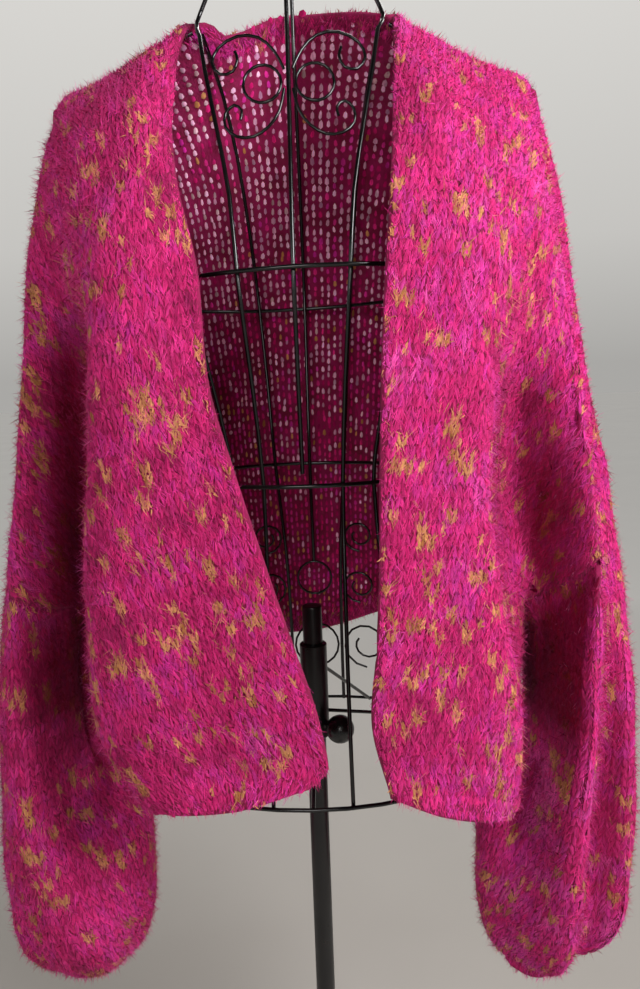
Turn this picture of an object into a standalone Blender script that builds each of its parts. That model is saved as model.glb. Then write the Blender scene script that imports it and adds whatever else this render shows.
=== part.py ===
"""Open-front cardigan with full sleeves, hanging on a black wire dress form on a pole stand.

Metres, +Z up. The front looks along -Y and the wearer's left is at +X. The origin is the
middle of the base's underside. Tables are in centimetres, as a dressmaker would note them.
"""

import math

import bpy
import numpy as np
from mathutils import Vector

CM = 0.01

# Driving sizes of the cloth, in metres
CLOTH_T = 0.004
SEAM_PULL = 0.00016
CORNER_PULL = 0.0005
CORNER_SHARE = 0.35
CORNER_REACH = 0.025

# Driving sizes of the stand, in metres
BASE_R = 0.150
BASE_T = 0.008
BASE_EDGE = 0.003
SOCKET_FLOOR = 0.005
SOCKET_HEIGHT = 0.042
POLE_R = 0.0090
POLE_TOP = 0.888
COLLAR_R = 0.0125
COLLAR_LOW = 0.762
COLLAR_HIGH = 0.852
KNOB_R = 0.0130
KNOB_HEIGHT = 0.775
KNOB_BEARING = math.radians(-38)
RUN_GAP = 0.0004
GAP = 0.0003

# Driving sizes of the wire form, in metres
WIRE_R = 0.0018
SCROLL_R = 0.0014
WIRE_STEP = 2 * WIRE_R + 0.0006
UNDER_SHOULDER = 0.0053
NECK_TOP = 1.452
BUST_HEIGHT = 1.170
WAIST_HEIGHT = 1.010
HIP_HEIGHT = 0.752

# The shoulder line of the cloth: out from the middle, height
SHOULDER_LINE = ((8.6, 138.9), (12.6, 136.6), (14.6, 135.4), (17.2, 134.4), (19.2, 133.8), (20.3, 132.6))

# Where each fold of the upper body starts on the shoulder line, out from the middle
FOLD_TOPS = {"edge": 8.6, "face": 11.6, "ridge": 14.0, "valley": 15.4, "side": 16.6, "web": 17.6,
             "wing": 18.8, "crease": 19.5, "outer": 20.3}
BODY_FOLDS = ("edge", "face", "ridge", "valley", "side", "web")
WING_FOLDS = ("web", "wing", "crease", "outer")
BODY_STEPS = (2, 3, 2, 2, 2)
WING_STEPS = (5, 3, 4)
BACK_WING_FOLDS = ("outer", "bwing", "bweb")
BACK_WING_STEPS = (6, 6)
BACK_BODY_FOLDS = ("bweb", "bside", "blade", "centre")
BACK_BODY_STEPS = (5, 6, 4)
UPPER_ROWS = 12
LOWER_ROWS = 5
SLEEVE_ROWS = 11
BALLOON_ROWS = 4
CREST_DROP = 16.0
UNDERARM = 89.0

# Each front, a row for each height: (out, forward) of every fold of the cloth
FRONTS = {
    "left": {
        131: {"edge": (8.1, 7.9)},
        125: {"edge": (7.6, 10.3), "ridge": (13.4, 10.6), "valley": (16.0, 9.8), "side": (17.9, 8.6),
              "web": (19.4, 7.2), "wing": (20.1, 4.8), "crease": (20.5, 1.4), "outer": (22.6, -1.7)},
        117: {"edge": (6.8, 12.9), "ridge": (13.6, 12.8), "valley": (15.9, 11.0), "side": (17.6, 9.4),
              "web": (19.4, 8.0), "wing": (20.9, 5.8), "crease": (20.9, 2.0), "outer": (24.2, -2.2)},
        110: {"edge": (6.3, 13.8), "ridge": (13.6, 13.2), "valley": (15.5, 10.0), "side": (17.2, 8.4),
              "web": (19.4, 7.6), "wing": (22.0, 6.2), "crease": (21.8, 2.3), "outer": (25.2, -2.2)},
        103: {"edge": (6.0, 14.2), "ridge": (13.5, 13.2), "valley": (15.0, 8.9), "side": (16.9, 7.4),
              "web": (19.4, 7.0), "wing": (23.1, 6.3), "crease": (22.7, 2.4), "outer": (26.6, -2.2)},
        96: {"edge": (5.8, 14.5), "ridge": (14.0, 13.1), "valley": (15.3, 7.8), "side": (17.1, 6.2),
             "web": (19.2, 5.4), "wing": (24.1, 6.3), "crease": (23.5, 2.4)},
        90: {"edge": (5.5, 14.7), "ridge": (14.8, 13.0), "valley": (16.1, 7.2), "side": (17.5, 5.0)},
        84: {"edge": (4.9, 14.8), "ridge": (15.7, 13.0), "valley": (16.8, 7.6), "side": (18.2, 4.4),
             "web": (18.3, 0.4)},
        78: {"edge": (5.5, 14.8), "ridge": (15.8, 12.9), "valley": (16.7, 8.0), "side": (18.0, 4.6),
             "web": (18.1, 0.2)},
    },
    "right": {
        134: {"edge": (9.3, 6.0)},
        130: {"edge": (9.2, 8.0)},
        125: {"edge": (8.6, 10.3), "ridge": (13.6, 10.8), "valley": (16.2, 9.8), "side": (18.0, 8.3),
              "web": (19.4, 6.8), "wing": (20.9, 4.2), "crease": (21.4, 1.6), "outer": (22.1, -1.5)},
        117: {"edge": (6.9, 12.9), "ridge": (14.2, 12.9), "valley": (16.4, 10.2), "side": (17.8, 7.6),
              "web": (19.2, 6.0), "wing": (21.8, 4.8), "crease": (22.5, 2.2), "outer": (23.4, -2.0)},
        110: {"edge": (6.5, 13.8), "ridge": (14.7, 13.3), "valley": (16.5, 9.0), "side": (17.6, 5.8),
              "web": (19.2, 4.2), "wing": (22.6, 5.0), "crease": (23.4, 2.4), "outer": (24.3, -2.0)},
        103: {"edge": (4.8, 14.3), "ridge": (15.3, 13.3), "valley": (16.8, 8.4), "side": (17.6, 5.0),
              "web": (19.2, 3.6), "wing": (23.6, 5.2), "crease": (24.6, 2.6), "outer": (25.5, -2.0)},
        96: {"edge": (2.8, 14.6), "ridge": (15.9, 13.3), "valley": (17.2, 8.2), "side": (17.9, 4.8),
             "web": (19.0, 3.0), "wing": (24.7, 5.4), "crease": (25.9, 2.7), "outer": (26.9, -2.0)},
        90: {"edge": (1.0, 14.8), "ridge": (16.4, 13.2), "valley": (17.5, 8.2), "side": (18.2, 4.6)},
        84: {"edge": (-0.7, 14.9), "ridge": (16.5, 13.1), "valley": (17.5, 8.4), "side": (18.2, 4.4),
             "web": (18.3, 0.4)},
        80: {"edge": (-1.3, 14.9), "ridge": (15.6, 12.9), "valley": (17.0, 8.6), "side": (18.0, 4.6),
             "web": (18.1, 0.2)},
    },
}

# Where the folds end below: height, out, forward. The web ends at the underarm, then at the side seam.
SEAM_ENDS = {
    "left": {"web": (UNDERARM, 18.7, 2.0), "wing": (93.8, 24.4, 6.3), "crease": (98.5, 23.3, 2.4),
             "outer": (103.0, 26.6, -2.2)},
    "right": {"web": (UNDERARM, 18.7, 1.6), "wing": (91.5, 25.2, 5.4), "crease": (93.5, 26.3, 2.7),
              "outer": (95.6, 27.0, -2.0)},
}
HEM_ENDS = {
    "left": {"edge": (77.6, 6.2, 14.8), "face": (76.0, 10.6, 14.9), "ridge": (74.9, 15.3, 13.0),
             "valley": (75.6, 16.6, 8.2), "side": (77.0, 17.9, 4.6), "web": (78.6, 18.0, 0.2)},
    "right": {"edge": (78.6, 0.2, 14.9), "face": (77.0, 6.6, 15.2), "ridge": (76.8, 12.8, 13.4),
              "valley": (78.6, 16.2, 8.8), "side": (79.6, 17.9, 4.6), "web": (80.0, 18.0, 0.2)},
}

# The back, a row for each height: (out, backward) of every fold. The outer fold is the front's.
BACK = {
    125: {"centre": (0.0, 11.0), "blade": (9.0, 11.4), "bside": (14.2, 10.6), "bweb": (17.8, 9.2),
          "bwing": (21.0, 5.4)},
    117: {"centre": (0.0, 12.3), "blade": (9.5, 12.9), "bside": (15.0, 12.3), "bweb": (18.7, 10.4),
          "bwing": (22.2, 7.2)},
    110: {"centre": (0.0, 12.0), "blade": (9.5, 12.8), "bside": (15.6, 12.5), "bweb": (19.2, 9.6),
          "bwing": (23.0, 8.0)},
    103: {"centre": (0.0, 12.1), "blade": (9.5, 12.5), "bside": (15.8, 11.9), "bweb": (19.3, 7.4),
          "bwing": (24.0, 8.4)},
    96: {"centre": (0.0, 12.5), "blade": (9.6, 12.8), "bside": (16.4, 10.6), "bweb": (19.1, 3.4)},
    90: {"centre": (0.0, 12.9), "blade": (9.8, 13.2), "bside": (17.2, 8.8)},
    84: {"centre": (0.0, 13.2), "blade": (10.0, 13.4), "bside": (17.2, 7.8), "bweb": (18.3, -0.4)},
    78: {"centre": (0.0, 13.4), "blade": (10.0, 13.5), "bside": (17.0, 7.6), "bweb": (18.1, -0.2)},
}
BACK_TOPS = {"outer": 20.3, "bwing": 19.0, "bweb": 17.6, "bside": 14.4, "blade": 8.6}
NECK_BACK = (141.9, 6.6)
BACK_WING_END = {"left": (96.5, 24.5, 8.6), "right": (93.0, 25.0, 8.4)}
BACK_HEMS = {"left": {"bside": (79.6, 17.0, 7.6), "blade": (85.2, 9.9, 13.4)},
             "right": {"bside": (80.4, 17.0, 7.6), "blade": (81.6, 10.0, 13.5)}}
CENTRE_HEM = (82.4, 0.0, 13.3)

# Each sleeve, a row for each height: (out, forward) round the tube from the inner side by the front
SLEEVES = {
    "left": {
        86: ((20.2, 1.2), (21.6, 4.9), (25.0, 6.4), (24.6, 2.6), (28.4, -1.8), (28.2, -6.0), (24.6, -9.0),
             (20.8, -3.8)),
        79: ((20.5, 0.4), (21.8, 4.9), (24.8, 6.5), (24.5, 2.6), (29.1, -1.8), (28.8, -6.6), (24.6, -9.8),
             (20.9, -5.0)),
        72: ((18.9, 0.0), (20.6, 5.1), (24.8, 6.4), (24.4, 2.6), (29.4, -1.4), (29.0, -6.8), (24.0, -10.2),
             (19.4, -5.8)),
        66: ((15.6, -0.4), (17.8, 4.8), (24.4, 6.3), (24.2, 2.7), (29.7, -1.4), (29.0, -6.8), (23.2, -10.0),
             (17.2, -6.4)),
        60.5: ((15.5, -0.6), (17.8, 4.4), (23.8, 6.0), (24.0, 2.8), (29.6, -1.4), (28.4, -6.4), (22.6, -9.4),
               (17.3, -6.4)),
    },
    "right": {
        86: ((20.3, 1.0), (21.8, 4.0), (25.8, 5.4), (27.4, 3.2), (28.7, -1.6), (27.8, -6.2), (24.6, -8.8),
             (20.9, -3.6)),
        79: ((20.6, 0.3), (22.0, 4.2), (25.6, 5.6), (27.9, 3.4), (29.1, -1.6), (28.0, -6.4), (24.4, -9.4),
             (21.0, -4.8)),
        72: ((18.6, 0.0), (20.4, 4.6), (25.0, 6.0), (28.3, 3.6), (29.6, -1.6), (28.4, -6.6), (24.0, -9.8),
             (19.6, -5.8)),
        66: ((16.9, -0.2), (18.8, 4.6), (24.4, 6.0), (28.6, 3.7), (30.1, -1.6), (28.6, -6.6), (23.6, -9.8),
             (18.2, -6.2)),
        60.5: ((17.2, -0.3), (19.0, 4.4), (24.2, 5.9), (28.4, 3.6), (29.8, -1.6), (28.2, -6.4), (23.4, -9.4),
               (18.3, -6.0)),
    },
}
CUFFS = {"left": {"out": 20.9, "back": 1.6, "top": 53.0, "end": 51.4, "radius": 2.3},
         "right": {"out": 22.8, "back": 1.8, "top": 53.8, "end": 52.2, "radius": 2.3}}
SLEEVE_LAST = 60.5
GATHERS = 6
GATHER_DEPTH = 0.32
GATHER_TOP = 66.0
CUFF_ROWS = 2

# The wire form: height, half width, depth in front, depth behind
FORM = ((145.2, 5.8, 5.8, 5.8), (141.5, 6.9, 6.0, 6.0), (139.1, 8.2, 6.2, 6.0), (136.0, 10.4, 6.6, 6.6),
        (133.5, 12.4, 7.2, 7.4), (130.0, 14.0, 8.2, 8.4), (125.0, 15.0, 9.6, 9.6), (117.0, 15.0, 11.5, 10.6),
        (109.0, 12.9, 10.2, 9.6), (101.0, 11.0, 8.7, 8.7), (92.0, 13.2, 10.2, 10.4), (84.0, 15.4, 11.5, 11.6),
        (75.2, 16.2, 12.0, 12.0))
# The long wires: height and how far out each one runs
PRINCESS = ((145.2, 5.35), (143.0, 6.1), (141.0, 6.9), (139.1, 7.75), (136.6, 7.3), (133.5, 6.7), (129.0, 5.8),
            (123.4, 4.8), (117.0, 4.3), (109.0, 3.7), (101.0, 3.3), (92.0, 3.2), (84.0, 3.2), (75.2, 3.3))
BACK_PRINCESS = ((138.4, 7.3), (135.0, 6.7), (130.0, 5.8), (123.4, 5.1), (117.0, 4.6), (109.0, 4.0), (101.0, 3.5),
                 (92.0, 2.9), (84.0, 2.7), (75.2, 2.7))
SIDE_FRONT = ((128.4, 11.6), (123.0, 10.2), (117.0, 8.6), (110.4, 7.3), (104.0, 6.2), (101.0, 5.9), (92.0, 6.6),
              (84.0, 8.0), (75.2, 8.8))
CENTRE_FRONT = (145.2, 141.5, 138.4, 133.5, 126.5, 121.0, 117.0, 112.0, 107.0, 102.0)
CENTRE_BACK = (145.2, 141.5, 138.4, 133.5, 126.5, 121.0, 117.0, 109.0, 101.0, 96.0, 90.75)
SHOULDER_WIRE_OUTS = (9.6, 11.0, 12.6, 14.6, 16.0, 17.2)
ARM_WIRE = ((132.4, 18.6), (130.6, 18.3), (127.0, 16.9), (122.0, 15.3), (117.0, 14.6), (109.0, 12.5), (101.0, 10.6),
            (92.0, 12.8), (84.0, 15.0), (75.2, 15.8))

# Scrolls, seen from the front: out, height. Each is on both sides of the middle.
CHEST_SCROLLS = {
    "chest_scroll_low": ((0.35, 131.4), (0.75, 129.7), (1.6, 128.5), (2.8, 127.8), (4.1, 127.9), (5.0, 128.7),
                         (5.0, 129.8), (4.3, 130.4), (3.7, 129.9), (3.8, 129.2)),
    "chest_scroll_high": ((0.34, 133.0), (1.05, 134.4), (2.3, 135.6), (4.0, 135.9), (5.6, 135.2), (6.1, 134.0),
                          (5.4, 133.0), (4.4, 133.1), (4.0, 134.0), (4.2, 134.7)),
}
CHEST_LOOP = (2.06, 131.9, 1.5)
HIP_LOOPS = {"hip_loop_low": (0.0, 81.3, 2.33), "hip_loop_high": (0.0, 88.8, 1.8)}
HIP_SCROLLS = {"hip_scroll_low": (5.35, 81.4, 2.6), "hip_scroll_mid": (4.81, 87.9, 1.9),
               "hip_scroll_high": (4.85, 93.4, 1.7)}
SCROLL_TURNS = 1.35
SCROLL_WIND = 0.62

# Struts from the collar to the hip ring: height on the collar, turn round the ring from +X in degrees,
# and how far short of the middle of the ring's wire each one ends
STRUTS = {"strut_back_left": (82.7, 70.0, 0.15), "strut_back_right": (82.7, 110.0, 0.15),
          "strut_side_left": (78.4, 30.0, 0.225), "strut_side_right": (78.4, 150.0, 0.225),
          "strut_front": (78.4, 270.0, 0.15)}

COLOURS = {
    "knit": ((0.62, 0.035, 0.23, 1.0), 0.95, 0.0),
    "wire": ((0.012, 0.011, 0.012, 1.0), 0.38, 0.9),
    "stand": ((0.012, 0.011, 0.012, 1.0), 0.42, 0.9),
    "knob": ((0.015, 0.013, 0.014, 1.0), 0.3, 0.0),
}
SIDES = {"left": 1.0, "right": -1.0}


def clear_scene():
    for found in list(bpy.data.objects):
        bpy.data.objects.remove(found)


def material(name, kind):
    colour, roughness, metallic = COLOURS[kind]
    made = bpy.data.materials.new(name)
    made.use_nodes = True
    shader = made.node_tree.nodes["Principled BSDF"]
    shader.inputs["Base Color"].default_value = colour
    shader.inputs["Roughness"].default_value = roughness
    shader.inputs["Metallic"].default_value = metallic
    return made


def add_object(name, data, kind):
    made = bpy.data.objects.new(name, data)
    data.materials.append(material(name + "_finish", kind))
    bpy.context.scene.collection.objects.link(made)
    return made


# Smooth curves through tables


def slopes_of(at, values):
    """Slopes for a cubic that never overshoots its rows."""
    steps = np.diff(at)
    rises = np.diff(values, axis=0) / steps[:, None]
    slopes = np.zeros_like(values)
    slopes[0], slopes[-1] = rises[0], rises[-1]
    for i in range(1, len(at) - 1):
        same = rises[i - 1] * rises[i] > 0
        a, b = 2 * steps[i] + steps[i - 1], steps[i] + 2 * steps[i - 1]
        with np.errstate(divide="ignore", invalid="ignore"):
            mean = (a + b) / (a / rises[i - 1] + b / rises[i])
        slopes[i] = np.where(same, mean, 0.0)
    return slopes


def read_table(at, values, where):
    """The rows (at, values) as a smooth curve, read at each of where."""
    at, values = np.asarray(at, float), np.asarray(values, float)
    order = np.argsort(at)
    at, values = at[order], values[order].reshape(len(at), -1)
    slopes = slopes_of(at, values)
    where = np.clip(np.atleast_1d(where), at[0], at[-1])
    k = np.clip(np.searchsorted(at, where, side="right") - 1, 0, len(at) - 2)
    width = (at[k + 1] - at[k])[:, None]
    t = (where - at[k])[:, None] / width
    low = (2 * t**3 - 3 * t**2 + 1) * values[k] + (t**3 - 2 * t**2 + t) * width * slopes[k]
    return low + (3 * t**2 - 2 * t**3) * values[k + 1] + (t**3 - t**2) * width * slopes[k + 1]


def through(points, steps, closed=False):
    """A round curve through the points, with steps[i] stretches between points i and i + 1."""
    points = np.asarray(points, float)
    count = len(points)
    if closed:
        points = np.concatenate([points[-1:], points, points[:2]])
    else:
        points = np.concatenate([2 * points[:1] - points[1:2], points, 2 * points[-1:] - points[-2:-1]])
    made = []
    for i in range(count if closed else count - 1):
        a, b, c, d = points[i : i + 4]
        chords = [max(math.sqrt(np.linalg.norm(q - p)), 1e-6) for p, q in ((a, b), (b, c), (c, d))]
        before, here, after = chords
        start = (b - a) / before - (c - a) / (before + here) + (c - b) / here
        end = (c - b) / here - (d - b) / (here + after) + (d - c) / after
        for t in np.arange(steps[i]) / steps[i]:
            made.append((2 * t**3 - 3 * t**2 + 1) * b + (t**3 - 2 * t**2 + t) * here * start
                        + (3 * t**2 - 2 * t**3) * c + (t**3 - t**2) * here * end)
    if not closed:
        made.append(points[-2])
    return np.array(made)


# The cloth as a surface. Each fold runs down from the shoulder line, and rows cross the folds.


def shoulder_height(out):
    at, heights = zip(*SHOULDER_LINE)
    return float(np.interp(out, at, heights))


def crest(drop):
    """How much of its depth the cloth has reached at this drop below the shoulder line."""
    t = np.clip(np.asarray(drop, float) / CREST_DROP, 0.0, 1.0)
    return np.sin(t * math.pi / 2) ** 0.75


def column(rows, name, top_out, end, share, top_depth=0.0, top=None):
    """Points (out, depth, height) down one fold from the shoulder line to its end."""
    top = shoulder_height(top_out) if top is None else top
    end_height, end_out, end_depth = end
    known = [(h, row[name]) for h, row in rows.items() if name in row and top - 4 > h > end_height + 1.2]
    heights = [end_height] + [h for h, _ in known]
    depths = [end_depth] + [place[1] for _, place in known]
    outs = [end_out] + [place[0] for _, place in known]
    at = top + (end_height - top) * share
    out = read_table(heights + [top], outs + [top_out], at)[:, 0]
    deepest = read_table(heights, depths, at)[:, 0]
    depth = top_depth + (deepest - top_depth) * crest(top - at)
    return np.stack([out, depth, at], axis=1)


def level_place(rows, name, height):
    """(out, depth) of a fold at one height."""
    known = [h for h in rows if name in rows[h]]
    return read_table(known, [rows[h][name] for h in known], height)[0]


def straight_column(rows, name, start, end, share):
    """Points (out, depth, height) down one fold of the lower body, from start to end."""
    known = [(h, row[name]) for h, row in rows.items() if name in row and start[2] - 2 > h > end[0] + 0.8]
    heights = [end[0]] + [h for h, _ in known] + [start[2]]
    places = [end[1:]] + [place for _, place in known] + [tuple(start[:2])]
    at = start[2] + (end[0] - start[2]) * share
    return np.concatenate([read_table(heights, places, at), at[:, None]], axis=1)


def with_face(rows):
    """The front's rows with the middle of the panel, which bulges a little, added."""
    made = {}
    for height, row in rows.items():
        if "ridge" not in row:
            made[height] = row
            continue
        edge, ridge = np.array(row["edge"]), np.array(row["ridge"])
        made[height] = dict(row, face=tuple((edge + ridge) / 2 + (0.0, 0.35)))
    return made


def rows_down(rows, ease):
    """Row places from 0 at the top to 1 at the bottom, closer together near the top."""
    return (np.arange(rows + 1) / rows) ** ease


def grid(columns, steps):
    """Rows of points across the columns."""
    return np.array([through(across, steps) for across in np.stack(columns, axis=1)])


def to_world(points, sign, forward):
    """(out, depth, height) in centimetres to metres, on one side."""
    facing = -1.0 if forward else 1.0
    return np.stack([points[..., 0] * sign, points[..., 1] * facing, points[..., 2]], axis=-1) * CM


def front_grids(side):
    """The upper grid of a front, from its edge to the overarm seam, and the lower one below the underarm."""
    rows = with_face(FRONTS[side])
    share = rows_down(UPPER_ROWS, 1.45)
    ends = {name: (UNDERARM, *level_place(rows, name, UNDERARM)) for name in BODY_FOLDS[:-1]}
    ends.update(SEAM_ENDS[side])
    columns = {name: column(rows, name, FOLD_TOPS[name], ends[name], share) for name in FOLD_TOPS}
    upper = grid([columns[name] for name in BODY_FOLDS + WING_FOLDS[1:]], BODY_STEPS + WING_STEPS)
    share = rows_down(LOWER_ROWS, 1.0)
    lower = grid([straight_column(rows, name, columns[name][-1], HEM_ENDS[side][name], share)
                  for name in BODY_FOLDS], BODY_STEPS)
    lower[0] = upper[-1, : lower.shape[1]]
    return to_world(upper, SIDES[side], True), to_world(lower, SIDES[side], True)


def back_columns(side):
    """Every fold of one half of the back above the underarm, and the side and hem folds below it."""
    share = rows_down(UPPER_ROWS, 1.45)
    under = SEAM_ENDS[side]["web"]
    ends = {name: (UNDERARM, *level_place(BACK, name, UNDERARM)) for name in ("bside", "blade", "centre")}
    ends.update(bweb=(under[0], under[1], -under[2]), bwing=BACK_WING_END[side])
    columns = {name: column(BACK, name, BACK_TOPS[name], ends[name], share)
               for name in ("bwing", "bweb", "bside", "blade")}
    columns["centre"] = column(BACK, "centre", 0.0, ends["centre"], share, NECK_BACK[1], NECK_BACK[0])
    hems = dict(BACK_HEMS[side], centre=CENTRE_HEM)
    share = rows_down(LOWER_ROWS, 1.0)
    lower = {name: straight_column(BACK, name, columns[name][-1], hems[name], share)
             for name in ("bside", "blade", "centre")}
    return columns, lower


def back_grids(fronts):
    """The upper grid of the back, from one overarm seam to the other, and the lower one."""
    upper_halves, lower_halves = [], []
    for side in ("left", "right"):
        sign = SIDES[side]
        upper_front, lower_front = fronts[side]
        columns, lower = back_columns(side)
        backs = [to_world(columns[name], sign, False) for name in ("bwing", "bweb", "bside", "blade", "centre")]
        upper_halves.append([upper_front[:, -1]] + backs)
        seam = lower_front[:, -1]
        lower_halves.append([seam] + [to_world(lower[name], sign, False) for name in ("bside", "blade", "centre")])
    steps = BACK_WING_STEPS + BACK_BODY_STEPS
    upper = grid(upper_halves[0] + upper_halves[1][-2::-1], steps + steps[::-1])
    lower = grid(lower_halves[0] + lower_halves[1][-2::-1], BACK_BODY_STEPS + BACK_BODY_STEPS[::-1])
    wing = sum(BACK_WING_STEPS)
    lower[0] = upper[-1, wing:-wing]
    shoulder = sum(BODY_STEPS + WING_STEPS) + 1
    upper[0, :shoulder] = fronts["left"][0][0, ::-1]
    upper[0, -shoulder:] = fronts["right"][0][0]
    for half, index in (("left", 0), ("right", -1)):
        upper[:, index] = fronts[half][0][:, -1]
        lower[:, index] = fronts[half][1][:, -1]
        lower[0, index] = upper[-1, wing if index == 0 else -wing - 1] = fronts[half][1][0, -1]
    return upper, lower


def sleeve_rim(side, front_upper, back_upper):
    """The armhole, from the underarm by the front to the overarm seam and by the back to the underarm."""
    body, wing = sum(BODY_STEPS), sum(BACK_WING_STEPS)
    by_front = front_upper[-1, body:]
    by_back = back_upper[-1, : wing + 1] if side == "left" else back_upper[-1, ::-1][: wing + 1]
    return np.concatenate([by_front, by_back[1:-1]])


def sleeve_grid(side, rim):
    """Rings of the sleeve from the armhole to the cuff's end."""
    sign = SIDES[side]
    front, back = sum(WING_STEPS), sum(BACK_WING_STEPS)
    keys = [0, WING_STEPS[0] - 2, WING_STEPS[0], sum(WING_STEPS[:2]), front, front + 3, front + 6, front + back - 2]
    steps = list(np.diff(keys + [front + back]))
    rows = SLEEVES[side]
    table = {h: np.array(places) * (sign, -1.0) * CM for h, places in rows.items()}
    share = rows_down(SLEEVE_ROWS, 0.9)
    columns = []
    for k, index in enumerate(keys):
        start = rim[index]
        heights = [h for h in rows if h * CM < start[2] - 0.015]
        at = start[2] + (SLEEVE_LAST * CM - start[2]) * share
        places = [table[h][k] for h in heights] + [start[:2]]
        columns.append(np.concatenate([read_table([h * CM for h in heights] + [start[2]], places, at),
                                       at[:, None]], axis=1))
    rings = [through(across, steps, closed=True) for across in np.stack(columns, axis=1)]
    rings[0] = rim
    rings += balloon_rings(side, rings[-1])
    return gathered(np.array(rings), CUFFS[side])


def balloon_rings(side, last):
    """Rings that round the sleeve's end inwards to the cuff, then the cuff itself."""
    cuff = CUFFS[side]
    middle = np.array([cuff["out"] * SIDES[side], cuff["back"]]) * CM
    away = last[:, :2] - middle
    ring = middle + away / np.linalg.norm(away, axis=1)[:, None] * cuff["radius"] * CM
    made = []
    for i in range(1, BALLOON_ROWS + 1):
        turn = i / BALLOON_ROWS * math.pi / 2
        places = ring + (last[:, :2] - ring) * math.cos(turn) ** 0.9
        height = last[0, 2] + (cuff["top"] * CM - last[0, 2]) * math.sin(turn)
        made.append(np.concatenate([places, np.full((len(places), 1), height)], axis=1))
    for i in range(1, CUFF_ROWS + 1):
        height = (cuff["top"] + (cuff["end"] - cuff["top"]) * i / CUFF_ROWS) * CM
        made.append(np.concatenate([ring, np.full((len(ring), 1), height)], axis=1))
    return made


def gathered(rings, cuff):
    """The rings with soft gathers that deepen towards the cuff."""
    around = np.arange(rings.shape[1]) / rings.shape[1] * 2 * math.pi * GATHERS
    for i in range(1, len(rings)):
        height = rings[i, :, 2].mean() / CM
        grown = np.clip((GATHER_TOP - height) / (GATHER_TOP - cuff["top"]), 0.0, 1.0)
        fading = np.clip((height - cuff["end"]) / (cuff["top"] + 1.2 - cuff["end"]), 0.35, 1.0)
        away = rings[i, :, :2] - rings[i, :, :2].mean(axis=0)
        away /= np.linalg.norm(away, axis=1)[:, None]
        rings[i, :, :2] += away * (np.cos(around) * GATHER_DEPTH * CM * grown * fading)[:, None]
    return rings


# Closed walls from the surface


class Wall:
    """One piece of cloth: its points, its faces with their outer side out, and which points are on a seam."""

    def __init__(self, name):
        self.name = name
        self.points, self.faces, self.seams = [], [], {}

    def add_grid(self, rows, flip, closed=False):
        """Adds a grid of points, joining it to points that are already there. Returns its indices."""
        known = {self.key(p): i for i, p in enumerate(self.points)}
        index = np.zeros(rows.shape[:2], int)
        for i in range(rows.shape[0]):
            for j in range(rows.shape[1]):
                key = self.key(rows[i, j])
                if key not in known:
                    known[key] = len(self.points)
                    self.points.append(rows[i, j])
                index[i, j] = known[key]
        across = rows.shape[1] if closed else rows.shape[1] - 1
        for i in range(rows.shape[0] - 1):
            for j in range(across):
                k = (j + 1) % rows.shape[1]
                face = (index[i, j], index[i + 1, j], index[i + 1, k], index[i, k])
                self.faces.append(face[::-1] if flip else face)
        return index

    @staticmethod
    def key(point):
        return tuple(np.round(np.asarray(point) * 1e6).astype(int))

    def mark(self, line, inward):
        """Marks a seam: each point of line, with the point next to it inside the piece."""
        for a, b in zip(line, inward):
            if a != b:
                self.seams.setdefault(int(a), []).append(int(b))


def point_normals(walls):
    """One normal for each place, shared by the pieces that meet there."""
    total = {}
    for wall in walls:
        points = np.array(wall.points)
        for face in wall.faces:
            p = points[list(face)]
            normal = np.cross(p[2] - p[0], p[3] - p[1])
            for i in face:
                total.setdefault(wall.key(points[i]), np.zeros(3))
                total[wall.key(points[i])] += normal
    return {key: normal / max(np.linalg.norm(normal), 1e-12) for key, normal in total.items()}


def eased(points, corners):
    """How much of the half thickness the skins keep near the tight corners of the cloth."""
    share = np.ones(len(points))
    for corner in corners:
        away = np.linalg.norm(points - corner, axis=1)
        share = np.minimum(share, np.clip(CORNER_SHARE + (1 - CORNER_SHARE) * away / CORNER_REACH, 0, 1))
    return share[:, None]


def solid_of(wall, normals, tips, underarms):
    """The closed wall: outer and inner skins half the thickness each side of the surface, and its rims."""
    points = np.array(wall.points)
    out = np.array([normals[wall.key(p)] for p in points])
    middle = points.copy()
    for i, inside in wall.seams.items():
        pull = np.zeros(3)
        for j in inside:
            along = points[j] - points[i]
            along -= out[i] * (along @ out[i])
            pull += along / max(np.linalg.norm(along), 1e-9)
        at_corner = min(np.linalg.norm(points[i] - place) for place in tips + underarms) < 1e-6
        amount = CORNER_PULL if at_corner else SEAM_PULL
        middle[i] += pull / max(np.linalg.norm(pull), 1e-9) * amount
    outer = out * CLOTH_T / 2 * eased(points, underarms)
    inner = out * CLOTH_T / 2 * eased(points, tips + underarms)
    skins = np.concatenate([middle + outer, middle - inner])
    count = len(points)
    faces = list(wall.faces) + [tuple(i + count for i in face[::-1]) for face in wall.faces]
    edges = {}
    for face in wall.faces:
        for a, b in zip(face, face[1:] + face[:1]):
            edges[(a, b)] = edges.get((a, b), 0) + 1
    for a, b in list(edges):
        if (b, a) in edges:
            continue
        # Both pieces at a seam split their rims along the same diagonal, so that twisted rims stay clear
        if wall.key(points[a]) < wall.key(points[b]):
            faces += [(b, a, b + count), (a, a + count, b + count)]
        else:
            faces += [(b, a, a + count), (b, a + count, b + count)]
    return skins, faces


def add_cloth(wall, normals, tips, underarms):
    skins, faces = solid_of(wall, normals, tips, underarms)
    mesh = bpy.data.meshes.new(wall.name)
    mesh.from_pydata([tuple(p) for p in skins], [], [tuple(int(i) for i in face) for face in faces])
    mesh.validate()
    mesh.shade_smooth()
    mesh.set_sharp_from_angle(angle=math.radians(50))
    add_object(wall.name, mesh, "knit")


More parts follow.
